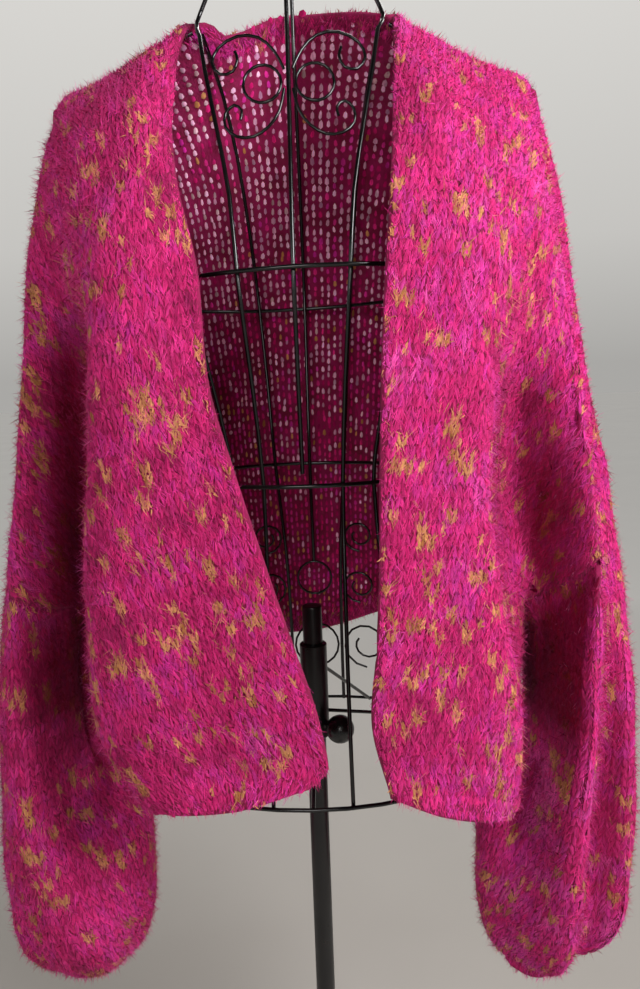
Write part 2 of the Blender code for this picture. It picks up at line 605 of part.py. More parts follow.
def build_cardigan():
    fronts = {side: front_grids(side) for side in SIDES}
    back_upper, back_lower = back_grids(fronts)
    walls = []
    for side, sign in SIDES.items():
        upper, lower = fronts[side]
        wall = Wall("front_" + side)
        flip = sign < 0
        up, low = wall.add_grid(upper, flip), wall.add_grid(lower, flip)
        body = sum(BODY_STEPS)
        overarm = np.r_[up[1, -2], up[1:-1, -2], up[-2, -2]]
        wall.mark(up[0, :-1], up[1, :-1])
        wall.mark(up[:, -1], overarm)
        wall.mark(up[-1, body:-1], up[-2, body:-1])
        wall.mark(low[:, -1], low[:, -2])
        walls.append(wall)
    back = Wall("back")
    up, low = back.add_grid(back_upper, False), back.add_grid(back_lower, False)
    wing, neck = sum(BACK_WING_STEPS), sum(BACK_WING_STEPS) + sum(BACK_BODY_STEPS[:2])
    for half, low_half in ((up, low), (up[:, ::-1], low[:, ::-1])):
        overarm = np.r_[half[1, 1], half[1:-1, 1], half[-2, 1]]
        back.mark(half[0, 1 : neck + 1], half[1, 1 : neck + 1])
        back.mark(half[:, 0], overarm)
        back.mark(half[-1, 1 : wing + 1], half[-2, 1 : wing + 1])
        back.mark(low_half[:, 0], low_half[:, 1])
    walls.append(back)
    for side, sign in SIDES.items():
        rim = sleeve_rim(side, fronts[side][0], back_upper)
        wall = Wall("sleeve_" + side)
        index = wall.add_grid(sleeve_grid(side, rim), sign < 0, closed=True)
        wall.mark(index[0], index[1])
        walls.append(wall)
    normals = point_normals(walls)
    tips = [fronts[side][0][0, -1] for side in SIDES]
    underarms = [fronts[side][1][0, -1] for side in SIDES]
    for place in underarms:
        normals[Wall.key(place)] = np.array([0.0, 0.0, -1.0])
    for wall in walls:
        add_cloth(wall, normals, tips, underarms)


# The wire form


def wire(name, points, radius, closed=False, kind="wire", fine=0):
    """A round wire along the points."""
    curve = bpy.data.curves.new(name, "CURVE")
    curve.dimensions = "3D"
    spline = curve.splines.new("POLY")
    spline.points.add(len(points) - 1)
    for point, place in zip(spline.points, points):
        point.co = (*place, 1.0)
    spline.use_cyclic_u = closed
    spline.use_smooth = True
    curve.bevel_depth = radius
    curve.bevel_resolution = fine
    curve.use_fill_caps = not closed
    return add_object(name, curve, kind)


def form_sizes(height):
    """Half width, depth in front and depth behind of the form at a height, in centimetres."""
    return read_table([row[0] for row in FORM], [row[1:] for row in FORM], height)[0]


def on_form(height, out, behind=False, inset=0.0, sign=1.0):
    """The place on the form's surface at a height and a distance out, inset from it, in metres."""
    half, front, back = form_sizes(height)
    share = min(abs(out) / half, 1.0)
    depth = (back if behind else front) * math.sqrt(max(0.0, 1 - share * share))
    normal = Vector((share / half, math.sqrt(max(0.0, 1 - share * share)) / (back if behind else front)))
    normal.normalize()
    away = depth * CM - normal.y * inset
    return Vector((sign * (out * CM - normal.x * inset), away if behind else -away, height * CM))


def ring(name, height, points=36):
    half, front, back = form_sizes(height / CM)
    places = []
    for i in range(points):
        turn = 2 * math.pi * i / points
        depth = front if math.sin(turn) < 0 else back
        places.append((half * CM * math.cos(turn), depth * CM * math.sin(turn), height))
    wire(name, places, WIRE_R, closed=True)


def smooth_run(points, per_step):
    return [Vector(p) for p in through([tuple(p) for p in points], [per_step] * (len(points) - 1))]


def long_wires():
    for side, sign in SIDES.items():
        front = [on_form(h, out, inset=WIRE_STEP, sign=sign) for h, out in PRINCESS]
        for i in range(4):
            front[i] = Vector((sign * PRINCESS[i][1] * CM, -0.001 * i, PRINCESS[i][0] * CM))
        wire("princess_front_" + side, smooth_run(front, 2), WIRE_R)
        back = [on_form(h, out, True, WIRE_STEP, sign) for h, out in BACK_PRINCESS]
        back[0] = Vector((sign * 0.0745, 0.0035, 1.3840))
        wire("princess_back_" + side, smooth_run(back, 2), WIRE_R)
        wire("side_front_" + side,
             smooth_run([on_form(h, out, inset=WIRE_STEP, sign=sign) for h, out in SIDE_FRONT], 2), WIRE_R)
        wire("shoulder_" + side, shoulder_wire(sign), WIRE_R)
    front = [on_form(h, 0.0, inset=WIRE_STEP) for h in CENTRE_FRONT]
    wire("centre_front", smooth_run(front, 2), WIRE_R)
    back = [on_form(h, 0.0, True, WIRE_STEP) for h in CENTRE_BACK]
    wire("centre_back", smooth_run(back, 2), WIRE_R)


def shoulder_wire(sign):
    """From the neck out under the shoulder seam, then down the armhole and the side."""
    points = [Vector((sign * 0.0822, 0.0, 1.3845))]
    for out in SHOULDER_WIRE_OUTS:
        points.append(Vector((sign * out * CM, 0.0, shoulder_height(out) * CM - UNDER_SHOULDER)))
    for height, out in ARM_WIRE:
        points.append(Vector((sign * out * CM, 0.0, height * CM)))
    return smooth_run(points, 2)


def spiral(out, height, radius, turns, sign, behind, points=18):
    """A scroll that winds in from its outer turn, on the form's surface."""
    places = []
    for i in range(points + 1):
        share = i / points
        turn = -math.pi / 2 + turns * 2 * math.pi * share
        reach = radius * (1 - SCROLL_WIND * share)
        at_out = out - reach * math.cos(turn)
        places.append(on_form(height + reach * math.sin(turn), at_out, behind, WIRE_STEP, sign))
    return places


def loop_wire(name, out, height, radius, sign, behind, points=18):
    places = []
    for i in range(points):
        turn = 2 * math.pi * i / points
        at_out = out + radius * math.cos(turn)
        flip = sign if at_out >= 0 else -sign
        places.append(on_form(height + radius * math.sin(turn), abs(at_out), behind, WIRE_STEP, flip))
    wire(name, places, SCROLL_R, closed=True)


def scrolls():
    for side, sign in SIDES.items():
        for name, table in CHEST_SCROLLS.items():
            places = [on_form(h, out, inset=WIRE_STEP, sign=sign) for out, h in table]
            wire(f"{name}_{side}", smooth_run(places, 2), SCROLL_R)
        loop_wire("chest_loop_" + side, *CHEST_LOOP, sign, False)
        for name, (out, height, radius) in HIP_SCROLLS.items():
            wire(f"{name}_{side}", spiral(out, height, radius, SCROLL_TURNS, sign, True), SCROLL_R)
    for name, (out, height, radius) in HIP_LOOPS.items():
        loop_wire(name, out, height, radius, 1.0, True)


def struts():
    """Straight wires from the collar down to the inner side of the hip ring."""
    half, front, back = form_sizes(HIP_HEIGHT / CM)
    for name, (height, degrees, short) in STRUTS.items():
        turn = math.radians(degrees)
        depth = back if math.sin(turn) > 0 else front
        reach = Vector((half * math.cos(turn), depth * math.sin(turn), 0)) * CM
        direction = reach.normalized()
        tilt = math.atan2(height * CM - HIP_HEIGHT, reach.length)
        seat = WIRE_R * math.sin(tilt) + GAP
        start = direction * (COLLAR_R + seat) + Vector((0, 0, height * CM))
        end = direction * (reach.length - short * CM - seat) + Vector((0, 0, HIP_HEIGHT))
        wire(name, [start, start.lerp(end, 0.5), end], WIRE_R)


# The stand


def turned(name, profile, sides, kind):
    """A solid turned about Z from (radius, height) pairs, outer side upwards. It closes at the axis or on itself."""
    points, faces, rows = [], [], []
    for radius, height in profile:
        count = sides if radius else 1
        rows.append([len(points) + i for i in range(count)])
        for i in range(count):
            turn = 2 * math.pi * i / sides
            points.append((radius * math.cos(turn), radius * math.sin(turn), height))
    if profile[0][0]:
        rows.append(rows[0])
    for low, high in zip(rows, rows[1:]):
        for i in range(sides):
            j = (i + 1) % sides
            corners = (low[i % len(low)], low[j % len(low)], high[j % len(high)], high[i % len(high)])
            faces.append(tuple(dict.fromkeys(corners)))
    mesh = bpy.data.meshes.new(name)
    mesh.from_pydata(points, [], faces)
    mesh.validate()
    mesh.shade_smooth()
    mesh.set_sharp_from_angle(angle=math.radians(40))
    return add_object(name, mesh, kind)


def build_stand():
    hole = POLE_R + GAP
    base = ((0.0, 0.0), (BASE_R - BASE_EDGE, 0.0), (BASE_R, BASE_EDGE), (BASE_R, BASE_T - BASE_EDGE),
            (BASE_R - BASE_EDGE, BASE_T), (0.030, BASE_T + 0.003), (0.020, BASE_T + 0.008),
            (0.015, SOCKET_HEIGHT - 0.004), (0.013, SOCKET_HEIGHT), (hole, SOCKET_HEIGHT), (hole, SOCKET_FLOOR),
            (0.0, SOCKET_FLOOR))
    turned("base", base, 36, "stand")
    foot, chamfer = SOCKET_FLOOR + GAP, 0.0015
    pole = ((0.0, foot), (POLE_R, foot), (POLE_R, POLE_TOP - chamfer), (POLE_R - chamfer, POLE_TOP), (0.0, POLE_TOP))
    turned("pole", pole, 20, "stand")
    inner = POLE_R + RUN_GAP
    collar = ((inner, COLLAR_LOW), (COLLAR_R, COLLAR_LOW), (COLLAR_R, COLLAR_HIGH - 0.001),
              (COLLAR_R - 0.001, COLLAR_HIGH), (inner, COLLAR_HIGH))
    turned("collar", collar, 20, "stand")


def build_knob():
    """A ball with a short neck, turned about its own axis and set against the collar."""
    neck = 0.0045
    start = COLLAR_R + GAP
    profile = [(0.0, start), (neck, start), (neck, start + 0.004)]
    middle = start + 0.003 + KNOB_R
    for i in range(2, 9):
        turn = math.pi * i / 9
        profile.append((KNOB_R * math.sin(turn), middle - KNOB_R * math.cos(turn)))
    profile.append((0.0, middle + KNOB_R))
    knob = turned("knob", profile, 16, "knob")
    knob.rotation_euler = (0.0, math.pi / 2, KNOB_BEARING)
    knob.location = (0.0, 0.0, KNOB_HEIGHT)


def build():
    clear_scene()
    build_cardigan()
    for name, height in (("neck_ring", NECK_TOP), ("bust_ring", BUST_HEIGHT), ("waist_ring", WAIST_HEIGHT),
                         ("hip_ring", HIP_HEIGHT)):
        ring(name, height)
    long_wires()
    scrolls()
    struts()
    build_stand()
    build_knob()


build()
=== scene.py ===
"""The looks of an open-front cardigan on its wire dress form: the knit and its pile, the wires and the stand.

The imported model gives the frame. The cloth is worked out again from tables like those of the part's source,
in centimetres, with finer steps and some folds deeper.
"""
import math

import bpy
import numpy as np
from mathutils import Matrix, Vector
from mathutils.bvhtree import BVHTree


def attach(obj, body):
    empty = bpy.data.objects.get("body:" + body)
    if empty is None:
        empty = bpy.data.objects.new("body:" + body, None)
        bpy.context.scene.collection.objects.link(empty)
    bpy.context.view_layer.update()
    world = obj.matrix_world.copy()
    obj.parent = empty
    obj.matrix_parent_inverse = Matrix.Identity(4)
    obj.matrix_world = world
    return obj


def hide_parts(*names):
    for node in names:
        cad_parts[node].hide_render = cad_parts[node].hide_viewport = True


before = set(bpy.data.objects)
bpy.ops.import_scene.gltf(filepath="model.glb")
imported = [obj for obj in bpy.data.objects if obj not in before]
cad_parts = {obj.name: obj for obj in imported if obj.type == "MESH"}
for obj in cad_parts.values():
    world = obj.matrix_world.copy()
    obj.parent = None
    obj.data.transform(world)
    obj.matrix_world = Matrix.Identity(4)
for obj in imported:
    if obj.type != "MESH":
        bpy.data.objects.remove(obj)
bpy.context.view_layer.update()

CM = 0.01
SIDES = {"left": 1.0, "right": -1.0}
TINY = 1e-12

# The cloth, in metres
CLOTH_T = 0.004
SEAM_PULL = 0.00015
WALE_PITCH = 0.0072
COURSE_PITCH = 0.0090

# The wire form and the stand, in metres
WIRE_R = 0.0018
SCROLL_R = 0.0012
WIRE_STEP = 2 * WIRE_R + 0.0006
UNDER_SHOULDER = 0.0053
HIP_HEIGHT = 0.752
RINGS = {"neck_ring": 1.452, "bust_ring": 1.170, "waist_ring": 1.010, "hip_ring": HIP_HEIGHT}
# How far a ring leans up in front and up on the left
RING_LEANS = {"bust_ring": (0.0075, 0.004)}
GAP = 0.0003
BASE_R = 0.150
BASE_T = 0.008
BASE_EDGE = 0.003
# The plate's lower edge: in from the rim, and up
BASE_UNDER = (0.001, 0.0012)
SOCKET_FLOOR = 0.005
SOCKET_HEIGHT = 0.042
# The socket's outside: radius and height above the plate, then radius and drop below the socket's top
SOCKET_FOOT = ((0.034, 0.0022), (0.026, 0.0045), (0.020, 0.009), (0.0165, 0.018))
SOCKET_RIM = ((0.015, 0.004), (0.0142, 0.001), (0.013, 0.0))
POLE_R = 0.0090
POLE_TOP = 0.888
POLE_CHAMFER = 0.0015
COLLAR_R = 0.0125
COLLAR_LOW = 0.762
COLLAR_HIGH = 0.852
COLLAR_EDGE = 0.001
KNOB_R = 0.0130
KNOB_NECK_R = 0.0045
KNOB_NECK = 0.003
KNOB_HEIGHT = 0.775
KNOB_BEARING = math.radians(-38)
RUN_GAP = 0.0004
# Steps round and along the turned pieces. The first few of the knob's ball are hidden by its neck.
BASE_SIDES = 96
TUBE_SIDES = 48
KNOB_SIDES = 40
KNOB_STEPS = 17
KNOB_FIRST = 3
ROUND_STEPS = 4
SHARP_ANGLE = math.radians(35)

# The shoulder line of the cloth: out from the middle, height
SHOULDER_LINE = ((8.6, 138.9), (12.6, 136.6), (14.6, 135.4), (17.2, 134.4), (19.2, 133.8), (20.3, 132.6))

# Where each fold of the upper body starts on the shoulder line, out from the middle
FOLD_TOPS = {"edge": 8.6, "face": 11.6, "ridge": 14.0, "valley": 15.4, "side": 16.6, "web": 17.6,
             "wing": 18.8, "crease": 19.5, "outer": 20.3}
BODY_FOLDS = ("edge", "face", "ridge", "valley", "side", "web")

# Steps of the surface for each step of the solids, and its steps between folds and down them
FINE = 3
BODY_STEPS = (6, 9, 6, 6, 6)
WING_STEPS = (15, 9, 12)
BACK_WING_STEPS = (18, 18)
BACK_BODY_STEPS = (15, 18, 12)
UPPER_ROWS = 48
LOWER_ROWS = 20
SLEEVE_ROWS = 44
BALLOON_ROWS = 16
CUFF_ROWS = 8
UPPER_EASE = 1.45
SLEEVE_EASE = 0.9

# How the cloth rounds over the shoulder, and the bulge of a front's middle
CREST_DROP = 16.0
CREST_POWER = 0.75
FACE_BULGE = 0.35
UNDERARM = 89.0

# How near a table's row may come to a fold's top and end, in the upper body and below it
UPPER_CLEAR = (4, 1.2)
LOWER_CLEAR = (2, 0.8)

# Each front, a row for each height: (out, forward) of the folds in FRONT_FOLDS, as far as they go there
FRONT_FOLDS = ("edge", "ridge", "valley", "side", "web", "wing", "crease", "outer")
FRONTS = {
    "left": {
        131: ((8.1, 7.9),),
        125: ((7.6, 10.3), (13.4, 10.6), (16.0, 9.8), (17.9, 8.6), (19.4, 7.2), (20.1, 4.8), (20.5, 1.4),
              (22.6, -1.7)),
        117: ((6.8, 12.9), (13.6, 12.8), (15.9, 10.6), (17.6, 8.4), (19.4, 7.4), (20.9, 5.8), (20.9, 2.0),
              (24.2, -2.2)),
        110: ((6.3, 13.8), (13.6, 13.2), (15.6, 9.0), (17.4, 6.6), (19.6, 6.2), (22.2, 6.6), (21.8, 2.3),
              (25.2, -2.2)),
        103: ((6.0, 14.2), (13.5, 13.2), (15.2, 7.6), (17.2, 5.0), (19.6, 5.0), (23.0, 6.8), (22.7, 2.4),
              (26.6, -2.2)),
        96: ((5.8, 14.5), (14.0, 13.1), (15.4, 6.8), (17.2, 4.2), (19.2, 3.6), (23.8, 6.8), (23.5, 2.4)),
        90: ((5.5, 14.7), (14.8, 13.0), (16.1, 7.2), (17.5, 5.0)),
        84: ((4.9, 14.8), (15.7, 13.0), (16.8, 7.6), (18.2, 4.4), (18.3, 0.4)),
        78: ((5.5, 14.8), (15.8, 12.9), (16.7, 8.0), (18.0, 4.6), (18.1, 0.2)),
    },
    "right": {
        134: ((9.3, 6.0),),
        130: ((9.2, 8.0),),
        125: ((8.6, 10.3), (13.6, 10.8), (16.2, 9.8), (18.0, 8.3), (19.4, 6.8), (20.9, 4.2), (21.4, 1.6),
              (22.1, -1.5)),
        117: ((6.9, 12.9), (14.2, 12.9), (16.4, 10.2), (17.8, 7.6), (19.2, 6.0), (21.8, 4.8), (22.5, 2.2),
              (23.4, -2.0)),
        110: ((6.5, 13.8), (14.7, 13.3), (16.5, 9.0), (17.6, 5.8), (19.2, 4.2), (22.6, 5.0), (23.4, 2.4),
              (24.3, -2.0)),
        103: ((4.8, 14.3), (15.3, 13.3), (16.8, 8.4), (17.6, 5.0), (19.2, 3.6), (23.6, 5.2), (24.6, 2.6),
              (25.5, -2.0)),
        96: ((2.8, 14.6), (15.9, 13.3), (17.2, 8.2), (17.9, 4.8), (19.0, 3.0), (24.7, 5.4), (25.9, 2.7),
             (26.9, -2.0)),
        90: ((1.0, 14.8), (16.4, 13.2), (17.5, 8.2), (18.2, 4.6)),
        84: ((-0.7, 14.9), (16.4, 13.1), (17.0, 7.6), (17.8, 3.6), (18.3, 0.4)),
        80: ((-1.3, 14.9), (15.4, 12.9), (16.0, 7.4), (17.3, 3.4), (18.1, 0.2)),
    },
}

# Where the folds end below: height, out, forward. The web ends at the underarm, then at the side seam.
SEAM_ENDS = {
    "left": {"web": (UNDERARM, 18.7, 2.0), "wing": (93.8, 24.4, 6.3), "crease": (98.5, 23.3, 2.4),
             "outer": (103.0, 26.6, -2.2)},
    "right": {"web": (UNDERARM, 18.7, 1.6), "wing": (91.5, 25.2, 5.4), "crease": (93.5, 26.3, 2.7),
              "outer": (95.6, 27.0, -2.0)},
}
HEM_ENDS = {
    "left": {"edge": (77.6, 6.2, 14.8), "face": (76.0, 10.6, 14.9), "ridge": (74.9, 15.3, 13.0),
             "valley": (75.6, 16.6, 8.2), "side": (77.0, 17.9, 4.6), "web": (78.6, 18.0, 0.2)},
    "right": {"edge": (78.6, 0.2, 14.9), "face": (77.0, 6.6, 15.2), "ridge": (76.8, 12.8, 13.4),
              "valley": (78.6, 15.0, 7.6), "side": (79.6, 17.0, 3.3), "web": (80.0, 18.0, 0.2)},
}

# The back, a row for each height: (out, backward) of the folds in BACK_FOLDS. It ends at the front's seams.
BACK_FOLDS = ("centre", "blade", "bside", "bweb", "bwing")
BACK_BODY_FOLDS = ("bside", "blade", "centre")
BACK_TOPS = {"bwing": 19.0, "bweb": 17.6, "bside": 14.4, "blade": 8.6}
BACK = {
    125: ((0.0, 11.0), (9.0, 11.4), (14.2, 10.6), (17.8, 9.2), (21.0, 5.4)),
    117: ((0.0, 12.3), (9.5, 12.9), (15.0, 12.3), (18.7, 10.4), (22.2, 7.2)),
    110: ((0.0, 12.0), (9.5, 12.8), (15.6, 12.5), (19.2, 9.6), (23.0, 8.0)),
    103: ((0.0, 12.1), (9.5, 12.5), (15.8, 11.9), (19.3, 7.4), (24.0, 8.4)),
    96: ((0.0, 12.5), (9.6, 12.8), (16.4, 10.6), (19.1, 3.4)),
    90: ((0.0, 12.9), (9.8, 13.2), (17.2, 8.8)),
    84: ((0.0, 13.2), (10.0, 13.4), (17.2, 7.8), (18.3, -0.4)),
    78: ((0.0, 13.4), (10.0, 13.5), (17.0, 7.6), (18.1, -0.2)),
}
NECK_BACK = (141.9, 6.6)
BACK_WING_END = {"left": (96.5, 24.5, 8.6), "right": (93.0, 25.0, 8.4)}
BACK_HEMS = {"left": {"bside": (79.6, 17.0, 7.6), "blade": (84.4, 9.9, 13.4)},
             "right": {"bside": (80.4, 17.0, 7.6), "blade": (81.6, 10.0, 13.5)}}
CENTRE_HEM = (82.4, 0.0, 13.3)

# Each sleeve, a row for each height: (out, forward) round the tube from the inner side by the front
SLEEVES = {
    "left": {
        86: ((20.2, 1.2), (21.4, 3.2), (24.0, 6.5), (26.2, 1.6), (28.4, 0.6), (28.2, -6.0), (24.6, -9.0),
             (20.8, -3.8)),
        79: ((20.5, 0.4), (21.3, 2.8), (23.8, 6.6), (26.2, 0.9), (29.0, 0.9), (28.8, -6.6), (24.6, -9.8),
             (20.9, -5.0)),
        72: ((18.9, 0.0), (20.5, 2.6), (23.1, 6.6), (25.8, 0.6), (29.1, 1.2), (29.0, -6.8), (24.0, -10.2),
             (19.4, -5.8)),
        66: ((15.6, -0.4), (18.9, 2.6), (22.4, 6.5), (25.1, 0.5), (29.0, 1.2), (29.0, -6.8), (23.2, -10.0),
             (17.2, -6.4)),
        60.5: ((15.5, -0.6), (18.4, 2.6), (22.1, 6.2), (24.7, 0.7), (28.6, 1.0), (28.4, -6.4), (22.6, -9.4),
               (17.3, -6.4)),
    },
    "right": {
        86: ((20.3, -0.4), (22.4, 2.0), (25.8, 5.0), (27.4, 3.2), (28.7, -1.6), (27.8, -6.2), (24.6, -8.8),
             (20.9, -3.6)),
        79: ((20.6, -0.8), (22.8, 1.6), (25.8, 5.2), (27.9, 3.4), (29.1, -1.6), (28.0, -6.4), (24.4, -9.4),
             (21.0, -4.8)),
        72: ((18.6, -0.8), (22.0, 1.8), (25.6, 5.6), (28.3, 3.6), (29.6, -1.6), (28.4, -6.6), (24.0, -9.8),
             (19.6, -5.8)),
        66: ((16.9, -0.4), (20.0, 3.4), (24.6, 6.0), (28.6, 3.7), (30.1, -1.6), (28.6, -6.6), (23.6, -9.8),
             (18.2, -6.2)),
        60.5: ((17.2, -0.3), (19.0, 4.4), (24.2, 5.9), (28.4, 3.6), (29.8, -1.6), (28.2, -6.4), (23.4, -9.4),
               (18.3, -6.0)),
    },
}
# Where those places are round the armhole, in steps of the solids
SLEEVE_KEYS = (0, 3, 5, 8, 12, 15, 18, 22)
SLEEVE_CLEAR = 0.015
SLEEVE_LAST = 60.5
CUFFS = {"left": {"out": 20.9, "back": 1.6, "top": 53.0, "end": 51.4, "radius": 2.3},
         "right": {"out": 22.8, "back": 1.8, "top": 53.8, "end": 52.2, "radius": 2.3}}
BALLOON_POWER = 0.9
GATHERS = 6
GATHER_DEPTH = 0.32
GATHER_TOP = 66.0
GATHER_FADE = (1.2, 0.35)

# The wire form: height, half width, depth in front, depth behind
FORM = ((145.2, 5.8, 5.8, 5.8), (141.5, 6.9, 6.0, 6.0), (139.1, 8.2, 6.2, 6.0), (136.0, 10.4, 6.6, 6.6),
        (133.5, 12.4, 7.2, 7.4), (130.0, 14.0, 8.2, 8.4), (125.0, 15.0, 9.6, 9.6), (117.0, 15.0, 11.5, 10.6),
        (109.0, 12.9, 10.2, 9.6), (101.0, 11.0, 8.7, 8.7), (92.0, 13.2, 10.2, 10.4), (84.0, 15.4, 11.5, 11.6),
        (75.2, 16.2, 12.0, 12.0))
# The long wires: height and how far out each one runs. The front ones start on the neck, and come forward
# on it by a little from place to place. The starts are out, back and height in metres.
PRINCESS_NECK = ((145.2, 5.35), (143.0, 6.1), (141.0, 6.9), (139.1, 7.75))
NECK_ADVANCE = 0.001
PRINCESS = ((136.6, 7.3), (133.5, 6.7), (129.0, 5.8), (123.4, 4.8), (117.0, 4.3), (109.0, 3.7), (101.0, 3.3),
            (92.0, 3.2), (84.0, 3.2), (75.2, 3.3))
BACK_PRINCESS_START = (0.0745, 0.0035, 1.3840)
BACK_PRINCESS = ((135.0, 6.7), (130.0, 5.8), (123.4, 5.1), (117.0, 4.6), (109.0, 4.0), (101.0, 3.5),
                 (92.0, 2.9), (84.0, 2.7), (75.2, 2.7))
SIDE_FRONT = ((128.4, 11.6), (123.0, 10.2), (117.0, 8.6), (110.4, 7.3), (104.0, 6.2), (101.0, 5.9),
              (92.0, 6.6), (84.0, 8.0), (75.2, 8.8))
CENTRE_FRONT = (145.2, 141.5, 138.4, 133.5, 126.5, 121.0, 117.0, 112.0, 107.0, 102.0)
CENTRE_BACK = (145.2, 141.5, 138.4, 133.5, 126.5, 121.0, 117.0, 109.0, 101.0, 96.0, 90.75)
SHOULDER_WIRE_START = (0.0822, 0.0, 1.3845)
SHOULDER_WIRE_OUTS = (9.6, 11.0, 12.6, 14.6, 16.0, 17.2)
ARM_WIRE = ((132.4, 18.6), (130.6, 18.3), (127.0, 16.9), (122.0, 15.3), (117.0, 14.6), (109.0, 12.5),
            (101.0, 10.6), (92.0, 12.8), (84.0, 15.0), (75.2, 15.8))

# Scrolls, seen from the front: out, height. Each is on both sides of the middle.
CHEST_SCROLLS = {
    "chest_scroll_low": ((0.35, 131.4), (0.75, 129.7), (1.6, 128.5), (2.8, 127.8), (4.1, 127.9), (5.0, 128.7),
                         (5.0, 129.8), (4.3, 130.4), (3.7, 129.9), (3.8, 129.2)),
    "chest_scroll_high": ((0.34, 133.0), (1.05, 134.4), (2.3, 135.6), (4.0, 135.9), (5.6, 135.2),
                          (6.1, 134.0), (5.4, 133.0), (4.4, 133.1), (4.0, 134.0), (4.2, 134.7)),
}
# Rings and spirals: out, height, radius
CHEST_LOOP = (2.06, 131.9, 1.5)
HIP_LOOPS = {"hip_loop_low": (0.0, 81.3, 2.33), "hip_loop_high": (0.0, 88.8, 1.8)}
HIP_SCROLLS = {"hip_scroll_low": (5.35, 81.4, 2.6), "hip_scroll_mid": (4.81, 87.9, 1.9),
               "hip_scroll_high": (4.85, 93.4, 1.7)}
SCROLL_TURNS = 1.35
SCROLL_WIND = 0.62
# Points of a ring and of a loop, and stretches of a smooth wire from place to place
RING_POINTS = 36
LOOP_POINTS = 18
WIRE_STRETCHES = 2

# Struts from the collar to the hip ring: height on the collar, turn round the ring from +X in degrees,
# and how far short of the middle of the ring's wire each one ends
STRUTS = {"strut_back_left": (82.7, 70.0, 0.15), "strut_back_right": (82.7, 110.0, 0.15),
          "strut_side_left": (78.4, 30.0, 0.225), "strut_side_right": (78.4, 150.0, 0.225),
          "strut_front": (78.4, 270.0, 0.15)}

# Rays that feel how open the cloth is for the painted shade in its folds, in metres
RAYS = 40
RAY_SEED = 3
RAY_START = 0.006
RAY_FLATTEST = 0.15
RAY_REACH = 0.14

# How the pattern is worked out
FIELD_ROUNDS = 500
SHORTEST_EDGE = 1e-4
STRETCH = (0.55, 1.6)
YARN_FIELD = 509
SEARCHED = 6
# The part of its cell of the map for baking that a strand takes
CELL_START = 0.15
CELL_SPAN = 0.7

# How far the wales turn from the folds towards the middle, in degrees, at steps across the solids' grid
FRONT_TURNS = {"left": ((0, 0), (5, -12), (11, -26), (16, -38), (23, -48)),
               "right": ((0, 0), (5, -18), (11, -32), (16, -42), (23, -50))}
BACK_TURNS = ((0, 46), (6, 40), (12, 30), (17, 20), (23, 11), (27, 0))
TOP_TURN = 0.45

# The creases, listed one by one: from (out, height) to (out, height), width, rise, in centimetres
CREASES = {
    "right": ((17.0, 118.0, 18.5, 98.0, 1.5, -1.6), (18.7, 106.0, 20.4, 72.0, 1.5, -2.2),
              (19.5, 88.0, 20.5, 68.0, 1.7, -2.3), (25.6, 88.0, 26.4, 64.0, 1.6, 0.6)),
    "left": ((17.6, 112.0, 17.8, 92.0, 1.8, -0.8), (22.4, 117.0, 22.6, 102.0, 1.2, -0.5),
             (19.8, 92.0, 18.8, 60.0, 1.4, -1.6), (18.9, 94.0, 18.6, 83.0, 0.9, 1.0),
             (23.9, 92.0, 21.9, 56.0, 0.9, 0.6)),
    "back": ((13.4, 129.0, 16.4, 92.0, 1.9, 1.0), (9.6, 112.0, 11.2, 83.0, 1.6, 0.7),
             (17.2, 118.0, 19.4, 98.0, 1.3, -0.6), (2.6, 106.0, 4.6, 88.0, 1.4, 0.6),
             (-13.0, 131.0, -15.2, 90.0, 2.1, 1.1), (-7.4, 116.0, -8.6, 86.0, 1.5, 0.8),
             (-17.0, 121.0, -18.8, 96.0, 1.3, -0.6))}
CREASE_FACING = (1.6, 0.2)
CREASE_ENDS = 0.3
SEAM_HOLD = 0.022

# The slow waves of the cloth, in metres, and the height at which they end below the shoulders
WAVE_SEED = 5
WAVE_COUNT = 7
WAVE_LENGTHS = (0.06, 0.16)
WAVE_STARTS = (0, 6.3)
WAVE_HEIGHT = 0.0016
WAVE_UPRIGHT = 0.45
SHOULDER_HOLD = 1.36
SHOULDER_EASE = 0.06

# The rolled edge: its share of the full roll at heights, and its size in metres
ROLL_SHARE = ((0.50, 0.3), (0.60, 0.3), (0.74, 1.0), (0.86, 1.0), (0.92, 0.35), (1.34, 0.35), (1.39, 1.0))
ROLL_RISE = 0.0026
ROLL_AT = 0.0060
ROLL_WIDE = 0.0050
ROLL_GROOVE = 0.4
GROOVE_AWAY = 2.2
EDGE_THIN = 0.62
EDGE_BULGE = 0.0014
INNER_ROLL = 0.5
RIM_ROLL = 0.25
# The neck's back edge sags on one side: place across, half width, height where it starts and to the full,
# place behind where it starts and to the full, drop
NECK_DIP = (-0.077, 0.050, 1.32, 0.07, 0.002, 0.020, 0.015)

# A strand of a stitch: places along and across it, and how high they are, in parts of its own size
LEG = np.array([(0.0, 0.0), (0.3, -1.0), (0.3, 0.0), (0.3, 1.0), (0.72, -0.9), (0.72, 0.0), (0.72, 0.9),
                (1.0, 0.0)])
LEG_TOPS = np.array([-0.3, -0.1, 1.0, -0.1, -0.1, 0.9, -0.1, 0.1])
LEG_FACES = np.array([(0, 2, 1), (0, 3, 2), (1, 2, 5), (1, 5, 4), (2, 3, 6), (2, 6, 5), (4, 5, 7), (5, 6, 7)])
LEG_CREST = 0.5
LEG_START = (0.05, -0.62)
LEG_END = (0.42, 0.66)
LEG_BOW = 0.05
LEG_JITTER = 0.06
LEG_WIDTHS = (0.8, 1.25)
LEG_HEIGHTS = (0.7, 1.3)
LEG_ROUND = 0.8
LEG_WIDE = 0.21
LEG_RISE = 0.0018
STITCH_SINK = 0.0003
